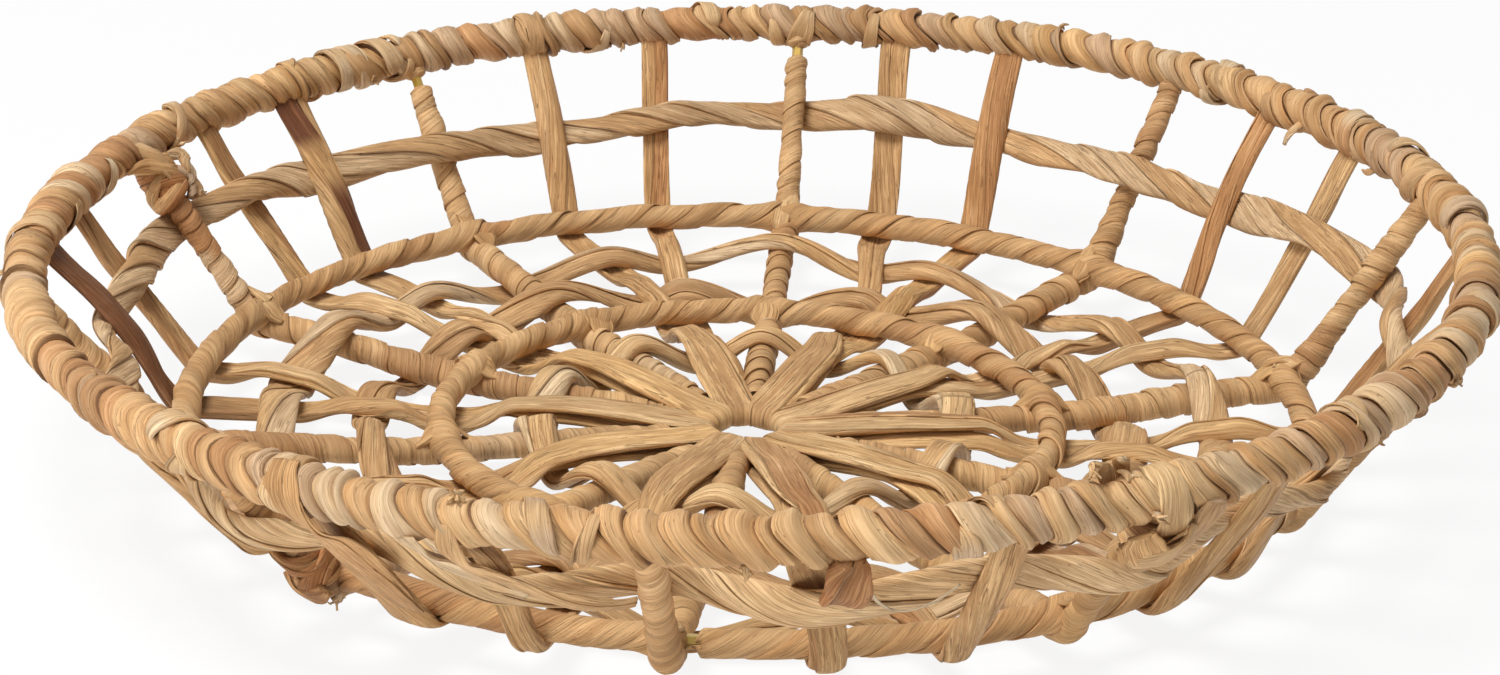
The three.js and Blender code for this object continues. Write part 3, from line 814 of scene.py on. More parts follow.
class BasketColours(bpy.types.PropertyGroup):
    straw: colour_property("Straw", "Plain dried leaf", (0.68, 0.44, 0.222))
    tan: colour_property("Tan", "Leaf dried in the sun", (0.58, 0.335, 0.15))
    gold: colour_property("Gold", "Yellow leaf", (0.66, 0.40, 0.172))
    brown: colour_property("Brown", "Dark leaf", (0.34, 0.160, 0.065))
    maroon: colour_property("Maroon", "Darkest leaf", (0.15, 0.052, 0.026))
    russet: colour_property("Russet", "Reddish leaf", (0.44, 0.195, 0.075))
    grey: colour_property("Grey", "Weathered leaf", (0.52, 0.36, 0.24))
    pale: colour_property("Pale", "Bleached leaf and worn edges", (0.72, 0.55, 0.36))
    vein: colour_property("Vein", "Dark veins and flecks", (0.16, 0.062, 0.022))
    # The shade colour is painted shade: the leaf is darkened towards it under its laps and in its creases.
    shade: colour_property("Shade", "Dust and shade under the laps", (0.12, 0.052, 0.020))
    lacquer: colour_property("Lacquer", "Lacquer of the wires", (0.50, 0.32, 0.045))
    floor: colour_property("Floor", "Floor and backdrop", (0.90, 0.90, 0.90))


def sizes():
    return bpy.context.scene.basket_sizes


def colours():
    return bpy.context.scene.basket_colours


def tint_of(name):
    return np.array(getattr(colours(), name))


def tints(**shares):
    """Leaf colours with the share of each, as a winding or a strip draws them."""
    return [(tint_of(name), share) for name, share in shares.items()]


def leaf(name, **settings):
    """The named leaf material, made the first time it is asked for."""
    return bpy.data.materials.get(name) or leaf_finish(name, colours(), **settings)


def set_in_place(piece, node):
    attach(piece, "root")
    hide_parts(node)


def numbered(name, rib):
    return f"{name}_{rib + 1:02d}"


def wound_look(**changes):
    """How leaf lies where it is wound on a wire."""
    look = {
        "profile": 12, "unevenness": sizes().unevenness, "sway": 0.8 * MM, "slant": 0.6 * MM,
        "overhang": sizes().overhang, "lap": sizes().lap, "bulge": 0.5 * MM, "dent": 0.22 * MM,
        "pleat": 0.06 * MM, "crease": 0.25 * MM, "swell": 0.05, "squeeze": 0.04,
        "strip_turns": 3, "contrast": 0.55, "starts": 1, "crease_shade": 0.25, "shade_width": 0.8,
        "warmth": 0.4, "marks": 1.0,
    }
    return {**look, **changes}


def strip_look(**changes):
    """How leaf lies where it is folded lengthwise into a strip."""
    look = {
        "laps": [0.12, 0.36, 0.71], "spacing": 0.7 * MM, "hang": 0.5 * MM, "creases": 12,
        "lap": 0.5 * MM, "lap_sway": 0.9 * MM, "fold": 0.35 * MM, "crease": 0.22 * MM,
        "pleat": 0.19 * MM, "curl": 0.2, "contrast": 0.6, "squareness": 0.8, "crease_shade": 0.18,
        "marks": 0.8,
    }
    return {**look, **changes}


# The pieces' paths.

def leg_azimuth(rib, second, reach):
    side = 1 if second else -1
    parted = (LEG_WIDTH + LEAF_SPACING - LEAF) / 2
    aside = eased([(STAR_WEAVER_RADIUS - 10 * MM, 0), (STAR_WEAVER_RADIUS + 20 * MM, parted)], reach)
    on_arm = ARMS[rib] + side * np.arcsin(aside / np.maximum(reach, HUB_RADIUS))
    spread = smooth((reach - INNER_RADIUS) / (RING_RADIUS - INNER_RADIUS))
    stave = (SECOND_STAVES if second else FIRST_STAVES)[rib]
    lean = math.radians(STAVE_LEANS.get((rib, second), 0))
    climb = (reach - RING_RADIUS) / (RIM_RADIUS - RING_RADIUS) * 0.6
    return on_arm + (stave - on_arm) * spread + lean * (smooth(climb) - 0.3) * spread


def crossing_offset(upright, even_ones):
    depth = LEG_CROSSING if upright % 3 else RIB_CROSSING
    return depth if (upright % 2 == 0) == even_ones else -depth


def wall_weaver_reach(azimuth):
    wall_start, end = wall_span(azimuth)
    slip = 3.5 * MM * np.cos(RIB_COUNT / 2 * (azimuth - RIBS[0]))
    return (wall_start + end) / 2 + 1 * MM + slip


def wall_weaver_width(azimuth):
    """The wall's weaver is broadest in front."""
    return WEAVER_WIDTH * (1 + 0.5 * np.exp(-((wrapped(azimuth + math.pi / 2) / 0.9) ** 2)))


def level(middle, offset):
    """Knots that keep an offset where a strand crosses a weaver."""
    return (middle - WEAVER_WIDTH / 2, offset), (middle + WEAVER_WIDTH / 2, offset)


def leg_path(rib, second, slip):
    """The points of a strand's leg from the hub ring out to the rim, the way into the bowl at each,
    and its reach and offset there."""
    upright = 3 * rib + (2 if second else 1)
    stave = (SECOND_STAVES if second else FIRST_STAVES)[rib]
    side = 1 if second else -1  # the second leg is the upper leaf on the arm
    wall_start, top = wall_span(stave)
    top = top - RIM_WRAP + INTO_RIM
    offsets = [
        (HUB_RADIUS, side * HUB_FOLD), *level(STAR_WEAVER_RADIUS, ARM_CLIMB + side * LEAF_SPACING / 2),
        (INNER_RADIUS - RING_WRAP, UNDER_RING), (INNER_RADIUS + RING_WRAP / 2, UNDER_RING),
        *level(INNER_WEAVER_RADIUS, -crossing_offset(upright, False)),
        *level(OUTER_WEAVER_RADIUS, -crossing_offset(upright, True)),
        (RING_RADIUS - RING_WRAP, UNDER_RING), (wall_start, UNDER_RING),
        *level(wall_weaver_reach(stave), -crossing_offset(upright, False)), (top, 0),
    ]
    reach = np.arange(HUB_RADIUS, top, PATH_STEP)
    on_arm = smooth((reach - HUB_RADIUS) / (25 * MM))
    on_arm = on_arm * smooth((STAR_WEAVER_RADIUS - reach) / (22 * MM) + 0.6)
    azimuth = leg_azimuth(rib, second, reach) + slip * on_arm / reach
    offset = eased(offsets, reach)
    return place_on(azimuth, reach, offset), inward_of(azimuth, reach), reach, offset


def strand_path(rib, draws):
    """A strand from the top of its second stave over the hub ring to the top of its first, with its
    reaches and how far its sides cup where it crosses a weaver."""
    upper, upper_way, upper_reach, upper_offset = leg_path(rib, True, draws.uniform(-1, 1) * MM)
    lower, lower_way, lower_reach, lower_offset = leg_path(rib, False, draws.uniform(-3, 3) * MM)
    turn = np.linspace(0, math.pi, 26)[1:-1]
    radial = np.array([math.cos(ARMS[rib]), math.sin(ARMS[rib]), 0])
    up = np.array([0, 0, 1])
    way = -radial * np.sin(turn)[:, None] + up * np.cos(turn)[:, None]
    fold = radial * HUB_RADIUS + up * BASE_HEIGHT + way * HUB_FOLD
    points = np.concatenate([upper[::-1], fold, lower])
    inward = np.concatenate([upper_way[::-1], way, -lower_way])
    reach = np.concatenate([upper_reach[::-1], HUB_RADIUS - HUB_FOLD * np.sin(turn), lower_reach])
    cup = np.concatenate([-upper_offset[::-1], 0 * turn, lower_offset]) * smooth((reach / MM - 78) / 10)
    return Line(points, inward), reach, cup


WEAVER_SAMPLES = 24  # from one crossing to the next


def weaver_line(azimuths, offsets, reach_at):
    """A weaver's closed path, in and out of its crossings."""
    part = np.arange(WEAVER_SAMPLES) / WEAVER_SAMPLES
    steps = np.append(azimuths[1:], azimuths[0] + TURN) - azimuths
    azimuth = (azimuths[:, None] + steps[:, None] * part).ravel()
    changes = np.roll(offsets, -1) - offsets
    offset = (offsets[:, None] + changes[:, None] * smooth(part)).ravel()
    reach = reach_at(azimuth)
    return Line(place_on(azimuth, reach, offset), inward_of(azimuth, reach), closed=True)


def upright_azimuth(upright, reach):
    rib = upright // 3
    return RIBS[rib] if upright % 3 == 0 else leg_azimuth(rib, upright % 3 == 2, reach)


def upright_crossings(reach, even_ones):
    """The azimuths of the ribs and legs at a reach, and how a weaver passes each of them."""
    uprights = range(3 * RIB_COUNT)
    azimuths = np.array([float(upright_azimuth(upright, reach)) for upright in uprights])
    return azimuths, np.array([crossing_offset(upright, even_ones) for upright in uprights])


def star_crossings():
    under_arm = ARM_CLIMB - (LEAF_SPACING + LEAF + WEAVER) / 2 - TOUCH - 2.2 * MM
    azimuths = np.stack([RIBS, ARMS], 1).ravel()
    return azimuths, np.tile([RIB_CROSSING, under_arm], RIB_COUNT)


# Leaf ends that lie over the wall and the rim, and torn tufts.

def loose_line(knots):
    """A smooth path along knots of azimuth in degrees, and of millimetres up the wall from the
    rim's middle and from the wall into the bowl."""
    knots = np.array([knots[0], *knots, knots[-1]], float)
    azimuth, climb, offset = (spline_weights(24 * len(knots), len(knots), False) @ knots).T
    azimuth = np.radians(azimuth)
    _, end = wall_span(azimuth)
    points = place_on(azimuth, end + climb * MM, offset * MM)
    to_rim = unit(place_on(azimuth, end, 0) - points)
    to_wall = inward_of(azimuth, end - 10 * MM) / MM * -np.clip(offset / 3, -1, 1)[:, None]
    near = smooth((climb + 13) / 8)[:, None]
    return Line(points, unit(to_rim * near + to_wall * (1 - near)))


THIN_LEAF = {"lap": 0.08 * MM, "hang": 0.12 * MM, "crease": 0.05 * MM, "pleat": 0.03 * MM,
             "spacing": 0.4 * MM}


def loose_leaf(work, line, width, draws, shades, turns, thickness, tip=0.65):
    """A leaf end along a path, broad in the middle and drawn in to a share of that at its ends."""
    look = strip_look(laps=[0.06, 0.53], lap=0.4 * MM, fold=0.35 * MM, squareness=0.75, tints=shades,
                      marks=0.6)
    if thickness > 3 * MM:
        look.update(laps=[0.05, 0.22, 0.38, 0.62, 0.8], lap=0.7 * MM, fold=0.7 * MM, crease=0.6 * MM,
                    pleat=0.4 * MM, marks=1.0, contrast=1.0)
    if width < 3 * MM:
        look.update(THIN_LEAF, fold=0.08 * MM, marks=0.2, lap_sway=0)

    def half_width(share):
        taper = np.minimum(smooth(share / 0.15), smooth((1 - share) / 0.3))
        return width / 2 * (tip + (1 - tip) * taper) * (1 + 0.12 * wander(draws, len(share), 9))

    folded_strip(
        work, line, half_width, lambda share: thickness / 2 + 0 * share,
        lambda share: turns * share + 0.04 * wander(draws, len(share), 12), look, draws, step=0.9 * MM,
    )


def lay_ends(work, ends, draws):
    """Leaf ends by their knots, width, turns, shares of tints and thickness, in millimetres."""
    for knots, width, turns, shares, thickness in ends:
        loose_leaf(work, loose_line(knots), width * MM, draws, tints(**shares), turns, thickness * MM)


def fray(work, azimuth, climb, offset, fibres, draws, shades):
    """A tuft of torn fibres that curl away from the rim or the wall."""
    azimuth = math.radians(azimuth)
    _, end = wall_span(azimuth)
    start = place_on(azimuth, end + climb * MM, offset * MM)
    ahead = unit(start - place_on(azimuth, end, 0))
    look = strip_look(laps=[0.1, 0.6], fold=0.1 * MM, tints=shades, marks=0.3, **THIN_LEAF)
    part = np.linspace(0, 1, 24)[:, None]
    for _ in range(fibres):
        way = unit(ahead + 0.7 * draws.uniform(-1, 1, 3))
        curl = unit(np.cross(way, draws.uniform(-1, 1, 3)))
        bend = draws.uniform(1.2, 3.2)
        reach = 4.5 * MM * draws.uniform(0.5, 1.2)
        bow = way * np.sin(bend * part) + curl * (1 - np.cos(bend * part))
        path = start - 1.5 * MM * way + reach * bow / bend
        width = draws.uniform(1.0, 2.6) * MM
        folded_strip(
            work, Line(path, np.cross(way, curl) + 0 * path),
            lambda share, width=width: width / 2 * (0.25 + 0.75 * smooth((1 - share) / 0.5)),
            lambda share: 0.28 * MM + 0 * share, lambda share: 0.15 * wander(draws, len(share), 5),
            look, draws, step=0.5 * MM,
        )


# The pieces.

SEEDS = {"rim": 11, "rings": 23, "ribs": 40, "strands": 70, "weavers": 91, "knots": 120}


class BASKET_OT_lacquer_wires(bpy.types.Operator):
    """Lacquer the rods that the leaf is wound on"""
    bl_idname = "basket.lacquer_wires"
    bl_label = "Lacquer Wires"

    def execute(self, context):
        finish = lacquer_finish(colours())
        for name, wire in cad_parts.items():
            if "wire" in name:
                wire.data.materials.clear()
                wire.data.materials.append(finish)
        return {"FINISHED"}


END_TINTS = {"straw": 0.5, "tan": 0.3, "pale": 0.2}
# Ends are knots of azimuth, climb and offset; width; turns; shares of tints; and thickness.
RIM_ENDS = (
    (((250.3, 5, -3), (250.4, 0, -8.2), (250.8, -7, -8.8), (252, -14, -7.6), (254.2, -21, -7),
      (257, -27, -7.2), (260.5, -31, -5.5), (262.5, -33, -2)), 9.5, 0.12, END_TINTS, 1.3),
    (((247.5, 2, -8.2), (248, -6, -8.6), (249.5, -14, -7), (252, -22, -6.5), (255, -28, -6.8)),
     8, -0.1, END_TINTS, 1.3),
    (((296.4, -5, 6), (295.8, 1, 9.2), (295.0, 5, 9.6), (294.4, 8, 8.8), (294.0, 10, 7.6)),
     5.0, 0.45, END_TINTS, 1.3),
    (((297.6, -5, 6), (297.2, 1, 9.0), (296.6, 5, 9.4), (296.2, 8, 8.8), (295.9, 10.5, 7.8)),
     4.6, -0.45, END_TINTS, 1.3),
    (((160.5, 3, 4), (159.2, -5, 7.6), (158.4, -11, 7.2), (157.6, -17, 6.0), (157.2, -22, 3.5)),
     6, 0.1, END_TINTS, 1.3),
    (((31, -2, 3), (31.3, -8, 5.5), (31.6, -12, 5), (31.8, -14, 3.6)), 2.6, 0.3, END_TINTS, 1.3),
)
RIM_FRAYS = (  # azimuth, climb, offset, fibres
    (250.6, 6.8, 3.5, 7), (270.2, -6.5, -5.5, 5), (154.2, -6.5, 4.5, 5), (293.8, 9.0, 6.0, 6),
    (296.5, 6.5, 4.0, 4), (19.5, -8.0, 2.5, 3), (331, 1.5, -8.0, 4), (188, 4.5, -6.5, 3), (61, 7.0, 2.0, 2),
    (103, -7.5, 2.0, 3), (216, 6.0, 4.5, 3), (322, -7.0, -4.0, 3), (129, -7.5, 3.0, 3),
)
OVER_WRAPS = 32  # leaf ends wound over the rim


def over_wrap(work, draws):
    """A leaf end wound over the rim's turns at a slant of its own."""
    start, drift = draws.uniform(0, 360), draws.choice([-1, 1]) * draws.uniform(1.2, 3.8)
    first, turned = draws.uniform(0, 360), draws.uniform(200, 330)
    part = np.linspace(0, 1, 80)
    angle = np.radians(first + turned * part)
    azimuth = np.radians(start + drift * part)
    out = (7.7 - 2.6 * (2 * part - 1) ** 8) * MM  # from the rim's middle, and the ends tucked in
    _, end = wall_span(azimuth)
    points = place_on(azimuth, end + out * np.sin(angle), out * np.cos(angle))
    path = Line(points, place_on(azimuth, end, 0) - points)
    shades = tints(straw=0.4, tan=0.25, pale=0.2, grey=0.1, russet=0.05)
    width = draws.uniform(4.5, 9.0) * MM
    loose_leaf(work, path, width, draws, shades, turns=0.0, thickness=1.2 * MM, tip=0.5)


class BASKET_OT_wind_rim(bpy.types.Operator):
    """Wind the rim with overlapping turns of leaf"""
    bl_idname = "basket.wind_rim"
    bl_label = "Wind Rim"

    def execute(self, context):
        draws = np.random.default_rng(SEEDS["rim"])
        work = Leafwork()
        look = wound_look(
            pitch=sizes().rim_pitch, starts=2, profile=18, lap=1.3 * MM, bulge=1.15 * MM, slant=1.5 * MM,
            sway=1.7 * MM, dent=0.55 * MM, swell=0.08, unevenness=0.72, contrast=0.55, strip_turns=2,
            shade_width=1.3, warmth=0.9, crease=0.4 * MM, pleat=0.16 * MM,
            tints=tints(straw=0.23, tan=0.34, gold=0.05, brown=0.05, russet=0.10, grey=0.14, pale=0.09),
        )
        line = hoop_line(RIM_RADIUS, rim_height)
        wound_leaf(work, line, lambda place: RIM_WRAP - 1.2 * MM, look, draws, hand=1, steps=22)
        lay_ends(work, RIM_ENDS, draws)
        for _ in range(OVER_WRAPS):
            over_wrap(work, draws)
        for place in RIM_FRAYS:
            fray(work, *place, draws, tints(**END_TINTS))
        piece = work.piece("wound_rim", leaf("wound_rim_leaf", fibre=0.7))
        set_in_place(piece, "rim_winding")
        return {"FINISHED"}


RIB_GAPS = {1: (0.147,), 2: (-0.006,), 3: (-0.006,)}  # metres along the winding, or back from its end
RING_GAPS = {"wound_base_ring": (265.6,), "wound_inner_ring": (318.0,)}  # azimuths in degrees
GAP = 2.2 * MM  # half of a gap's length


def with_gaps(radius_at, gaps):
    """A wound radius that dips at the gaps, where the turns part and the wire shows."""
    def radius(place):
        near = sum(smooth(1.4 - np.abs(place - gap) / GAP) for gap in gaps) + 0 * place
        return radius_at(place) * (1 - near) + 0.9 * MM * near
    return radius


def ring_radius_at(line, wrap, swell):
    """A ring's wound radius, which is greater where the leaf passes over a rib."""
    def radius_at(place):
        azimuth = place / line.length * TURN
        aside = np.abs(wrapped(azimuth[..., None] - RIBS)).min(-1)
        near = smooth(1.6 - aside * line.length / TURN / (6 * MM))
        return wrap + swell * near
    return radius_at


# Millimetres beside the ring's wire and up from the rib's, and the share of the way across it.
JOINT_KNOTS = ((10, 2.4, 1.0), (6.5, 4.2, 0.8), (3.6, 7.6, 0.5))


def joint_line(rib, radius, side):
    """A path over a ring where it crosses a rib, from one side of the rib to the other."""
    azimuth = RIBS[rib]
    wall_start, _ = wall_span(azimuth)
    far = wall_start if radius == RING_RADIUS else radius
    before = [(radius - beside * MM, up * MM, -across) for beside, up, across in JOINT_KNOTS]
    after = [(far + beside * MM, up * MM, across) for beside, up, across in JOINT_KNOTS[::-1]]
    knots = [*before, ((radius + far) / 2, BEND + 4.5 * MM, 0.0), *after]
    knots = np.array([knots[0], *knots, knots[-1]])
    reach, offset, across = (spline_weights(90, len(knots), False) @ knots).T
    azimuth = azimuth + side * 2.4 * MM * across / radius
    return Line(place_on(azimuth, reach, offset), inward_of(azimuth, reach))


class BASKET_OT_wind_rings(bpy.types.Operator):
    """Wind the two rings of the base with long slanted turns"""
    bl_idname = "basket.wind_rings"
    bl_label = "Wind Rings"

    def execute(self, context):
        draws = np.random.default_rng(SEEDS["rings"])
        rings = [
            ("wound_base_ring", "base_ring_winding", RING_RADIUS, RING_HEIGHT, sizes().ring_pitch,
             tints(straw=0.18, tan=0.46, gold=0.12, brown=0.10, russet=0.08, grey=0.06)),
            ("wound_inner_ring", "inner_ring_winding", INNER_RADIUS, INNER_HEIGHT, sizes().inner_pitch,
             tints(straw=0.30, tan=0.36, gold=0.16, brown=0.04, russet=0.06, grey=0.08)),
        ]
        for name, node, radius, height, pitch, ring_tints in rings:
            work = Leafwork()
            look = wound_look(pitch=pitch, starts=2, profile=18, slant=0.5 * MM, sway=1.3 * MM,
                              tints=ring_tints, lap=0.55 * MM, bulge=0.3 * MM, strip_turns=4, contrast=0.4,
                              shade_width=0.5, marks=0.7)
            line = hoop_line(radius, lambda azimuth, height=height: height)
            gaps = [azimuth / TURN * line.length for azimuth in np.radians(RING_GAPS.get(name, ()))]
            radius_at = with_gaps(ring_radius_at(line, RING_WRAP - 0.6 * MM, 1.1 * MM), gaps)
            wound_leaf(work, line, radius_at, look, draws, hand=-1, steps=30)
            shades = tints(straw=0.3, tan=0.5, gold=0.2)
            for rib in range(RIB_COUNT):
                path = joint_line(rib, radius, 1 if rib % 2 else -1)
                width = draws.uniform(6.5, 8.5) * MM
                loose_leaf(work, path, width, draws, shades, turns=0.0, thickness=1.6 * MM, tip=0.35)
            piece = work.piece(name, leaf("wound_ring_leaf", fibre=0.8, streak=0.35, dust=0.66))
            set_in_place(piece, node)
        return {"FINISHED"}


RIB_SHARES = {"straw": 0.30, "tan": 0.32, "gold": 0.12, "brown": 0.08, "russet": 0.06, "grey": 0.06,
              "pale": 0.06}
DARK_WALL_RIBS = {  # by rib, the shares of its tints on the wall
    1: {"tan": 0.45, "brown": 0.30, "grey": 0.25},
    4: {"tan": 0.40, "brown": 0.30, "russet": 0.20, "grey": 0.10},
}


class BASKET_OT_wind_ribs(bpy.types.Operator):
    """Wind each rib with leaf, from inside the inner ring to the rim"""
    bl_idname = "basket.wind_ribs"
    bl_label = "Wind Ribs"

    def execute(self, context):
        for rib in range(RIB_COUNT):
            draws = np.random.default_rng(SEEDS["ribs"] + rib)
            work = Leafwork()
            look = wound_look(
                pitch=sizes().rib_pitch, unevenness=0.65, sway=0.9 * MM, slant=0.5 * MM, bulge=0.2 * MM,
                overhang=0.35 * MM, lap=0.48 * MM, swell=0.09, profile=10, dent=0.28 * MM,
                contrast=0.42, strip_turns=6, shade_width=0.5, crease=0.3 * MM, marks=0.62,
                tints=tints(**RIB_SHARES), wall_tints=tints(**DARK_WALL_RIBS.get(rib, RIB_SHARES)),
            )
            _, end = wall_span(RIBS[rib])
            line = rib_line(rib, RIB_WRAP_START, end - RIM_WRAP + INTO_RIM)
            thick, thin = RIB_WRAP - 0.4 * MM, RIB_WRAP - 0.9 * MM
            knots = [(0, 3.4 * MM), (22 * MM, thick), (line.length - 75 * MM, thick),
                     (line.length - 45 * MM, thin)]
            gaps = [place if place > 0 else line.length + place for place in RIB_GAPS.get(rib, ())]
            radius_at = with_gaps(lambda place: eased(knots, place), gaps)
            wound_leaf(work, line, radius_at, look, draws, hand=1, steps=28)
            piece = work.piece(numbered("wound_rib", rib), leaf("wound_rib_leaf", fibre=0.7, dust=0.78))
            set_in_place(piece, numbered("rib_winding", rib))
        return {"FINISHED"}


STAVE_ENDS = {  # by rib, the leaf that lies over the rim
    6: (
        (((237.4, 6.5, 4), (237.7, 8.6, -1), (238.1, 5, -7), (239.0, -2, -8.9), (240.2, -10, -7.8),
          (241.0, -20, -6.6), (241.4, -32, -6.4), (241.6, -46, -5.8), (241.6, -58, -4)), 15, 0.05,
         {"tan": 0.6, "russet": 0.25, "brown": 0.15}, 1.4),
    ),
    7: (
        (((277.0, 1, -6), (277.0, -6, -8.0), (276.9, -13, -8.6), (276.8, -19, -8.4), (276.8, -23, -6),
          (276.8, -25, -2)), 11, 0.2, {"brown": 0.5, "russet": 0.5}, 5.0),
        (((278.2, -12, -7.5), (279.5, -24, -8.6), (281.5, -28, -9.4), (283.5, -22, -9.6), (285, -13, -8.8)),
         1.1, 0.4, {"pale": 1.0}, 0.5),
    ),
}
STRAND_WIDTHS = [
    (STAR_WEAVER_RADIUS - 1.5 * WEAVER_WIDTH, ARM_WIDTH + 1.8 * MM),
    (STAR_WEAVER_RADIUS + 2 * WEAVER_WIDTH, LEG_WIDTH + 0.8 * MM),
    (INNER_WEAVER_RADIUS + WEAVER_WIDTH / 2, LEG_WIDTH + 0.8 * MM), (OUTER_WEAVER_RADIUS, STAVE_WIDTH),
]
STRAND_THICKNESSES = [(HUB_RADIUS, 1.3 * MM), (36 * MM, LEAF), (STAR_WEAVER_RADIUS, LEAF - 0.4 * MM),
                      (INNER_RADIUS, STRAND - 0.5 * MM)]


def max_streak(rows, streaks):
    """How much of a dark leaf shows at each row, where it comes up between the folds."""
    return np.max([smooth(2 - 2 * np.abs(rows - middle) / reach) for middle, reach in streaks], axis=0)


def stave_tints(rib, rows):
    """Where and in which folds a tint comes up on a strand's staves, by its rows' shares of the length."""
    on_stave = smooth((np.abs(rows - 0.5) - 0.28) / 0.12)  # from the fold over the hub ring
    placed = [(0.5 * on_stave, tint_of("tan"), FOLDS)]
    for second in (True, False):
        if (rib, second) in STAVE_TINTS:
            name, folds, weight = STAVE_TINTS[rib, second]
            near = weight * on_stave * ((rows < 0.5) == second)
            if not second and rib in STAVE_STREAKS:
                near = near * max_streak(rows, STAVE_STREAKS[rib])
            placed.append((near, tint_of(name), folds))
    return placed


def fold_strand(rib):
    """The leaf of one strand: two legs on the base and two staves in the wall."""
    draws = np.random.default_rng(SEEDS["strands"] + rib)
    line, reach, cups = strand_path(rib, draws)
    places = line.places / line.length
    widths = draws.uniform(0.95, 1.18, 2) * [STAVE_WIDTHS.get((rib, second), 1) for second in (True, False)]
    turns = draws.choice([-1, 1], 4) * draws.uniform(0.15, 0.6, 4)
    turns[1] = STAVE_TURNS.get(rib, turns[1])

    def half_width(share):
        place = np.interp(share, places, reach)
        room = 3.4 * place * math.sin(math.pi / RIB_COUNT)
        on_stave = smooth((place - OUTER_WEAVER_RADIUS) / (20 * MM))
        width = np.minimum(eased(STRAND_WIDTHS, place), room)
        width = width * (1 + (np.where(share < 0.5, *widths) - 1) * on_stave)
        return width / 2 * (1 + 0.09 * wander(draws, len(share), 24))

    def half_thickness(share):
        thickness = eased(STRAND_THICKNESSES, np.interp(share, places, reach))
        return thickness / 2 * (0.94 + 0.08 * wander(draws, len(share), 20))

    def twist(share):
        place = np.interp(share, places, reach)
        on_wall = smooth((place - OUTER_WEAVER_RADIUS) / (95 * MM))
        on_base = smooth((place - STAR_WEAVER_RADIUS) / (75 * MM))
        wall_turns = np.where(share < 0.5, turns[0], turns[1])
        base_turns = np.where(share < 0.5, turns[2], turns[3])
        return wall_turns * on_wall + base_turns * on_base + 0.04 * wander(draws, len(share), 50)

    laps = np.sort(np.array([0.08, 0.42, 0.70]) + draws.uniform(-0.06, 0.06, 3))
    look = strip_look(
        laps=list(laps), lap=0.42 * MM, squareness=0.72, lap_sway=0.6 * MM, marks=0.6, contrast=0.75,
        cup=lambda share: 0.85 * np.interp(share, places, cups),
        end_tints=stave_tints(rib, np.linspace(0, 1, strip_rows(line))),
        tints=tints(straw=0.48, tan=0.20, gold=0.16, brown=0.04, russet=0.05, grey=0.04, pale=0.03),
    )
    work = Leafwork()
    folded_strip(work, line, half_width, half_thickness, twist, look, draws)
    lay_ends(work, STAVE_ENDS.get(rib, ()), draws)
    material = leaf("folded_strand_leaf", fibre=1.15, streak=1.0, dust=0.72)
    set_in_place(work.piece(numbered("leaf_strand", rib), material), numbered("strand", rib))


class BASKET_OT_fold_strands(bpy.types.Operator):
    """Fold a strand of leaf over the hub ring in each bay and up the wall as two staves"""
    bl_idname = "basket.fold_strands"
    bl_label = "Fold Strands"

    def execute(self, context):
        for rib in range(RIB_COUNT):
            fold_strand(rib)
        return {"FINISHED"}


def weave_leaf(name, node, crossings, reach_at, width_at, thickness, turning, look, draws):
    """The leaf of one weaver, with a number of twists that turning scales."""
    azimuths, offsets = crossings
    line = weaver_line(azimuths, offsets, reach_at)
    twists = round(turning * line.length / sizes().twist_length)

    def half_width(share):
        uneven = 1 + 0.26 * wander(draws, len(share), 20, True)
        return 0.92 * width_at(azimuths[0] + share * TURN) / 2 * uneven

    def half_thickness(share):
        return thickness / 2 * (1 + 0.15 * wander(draws, len(share), 18, True))

    def twist(share):
        return twists * share + 0.12 * wander(draws, len(share), 30, True)

    if name == "woven_wall":
        azimuth = azimuths[0] + np.linspace(0, TURN, strip_rows(line))
        bright = 0.8 * np.exp(-((wrapped(azimuth + math.radians(100)) / 1.1) ** 2))  # in front
        look = {**look, "end_tints": [(bright, tint_of("straw"), FOLDS)]}
    work = Leafwork()
    folded_strip(work, line, half_width, half_thickness, twist, strip_look(**look), draws)
    piece = work.piece(name, leaf("twisted_weaver_leaf", fibre=1.1, streak=0.6, dust=0.78))
    set_in_place(piece, node)


def constant(value):
    return lambda azimuth: value + 0 * azimuth


class BASKET_OT_weave(bpy.types.Operator):
    """Weave the loosely twisted leaf round the wall and the base"""
    bl_idname = "basket.weave"
    bl_label = "Weave"

    def execute(self, context):
        straws = tints(straw=0.26, tan=0.36, gold=0.10, brown=0.07, russet=0.09, grey=0.06, pale=0.06)
        twisted = {"laps": [0.0, 0.36, 0.64], "lap": 0.85 * MM, "fold": 0.7 * MM, "hang": 0.8 * MM,
                   "pleat": 0.24 * MM, "tints": straws}
        flat = {"laps": [0.06, 0.44, 0.72], "lap": 0.6 * MM, "fold": 0.45 * MM, "squareness": 0.75,
                "tints": tints(straw=0.56, gold=0.26, tan=0.12, pale=0.06)}
        base = constant(12.2 * MM), 4.6 * MM, 0.6, {**twisted, "contrast": 0.5}
        outer, inner, star = OUTER_WEAVER_RADIUS, INNER_WEAVER_RADIUS, STAR_WEAVER_RADIUS
        weavers = [
            ("woven_wall", "wall_weaver", upright_crossings(WALL_WEAVER_REACH, False), wall_weaver_reach,
             wall_weaver_width, 5.0 * MM, 1.0, {**twisted, "contrast": 0.4}),
            ("woven_outer_base", "outer_base_weaver", upright_crossings(outer, True), constant(outer),
             *base),
            ("woven_inner_base", "inner_base_weaver", upright_crossings(inner, False), constant(inner),
             *base),
            ("woven_star", "star_weaver", star_crossings(), constant(star),
             constant(11.5 * MM), 4.4 * MM, 0.5, flat),
        ]
        for index, weaver in enumerate(weavers):
            weave_leaf(*weaver, np.random.default_rng(SEEDS["weavers"] + index))
        return {"FINISHED"}


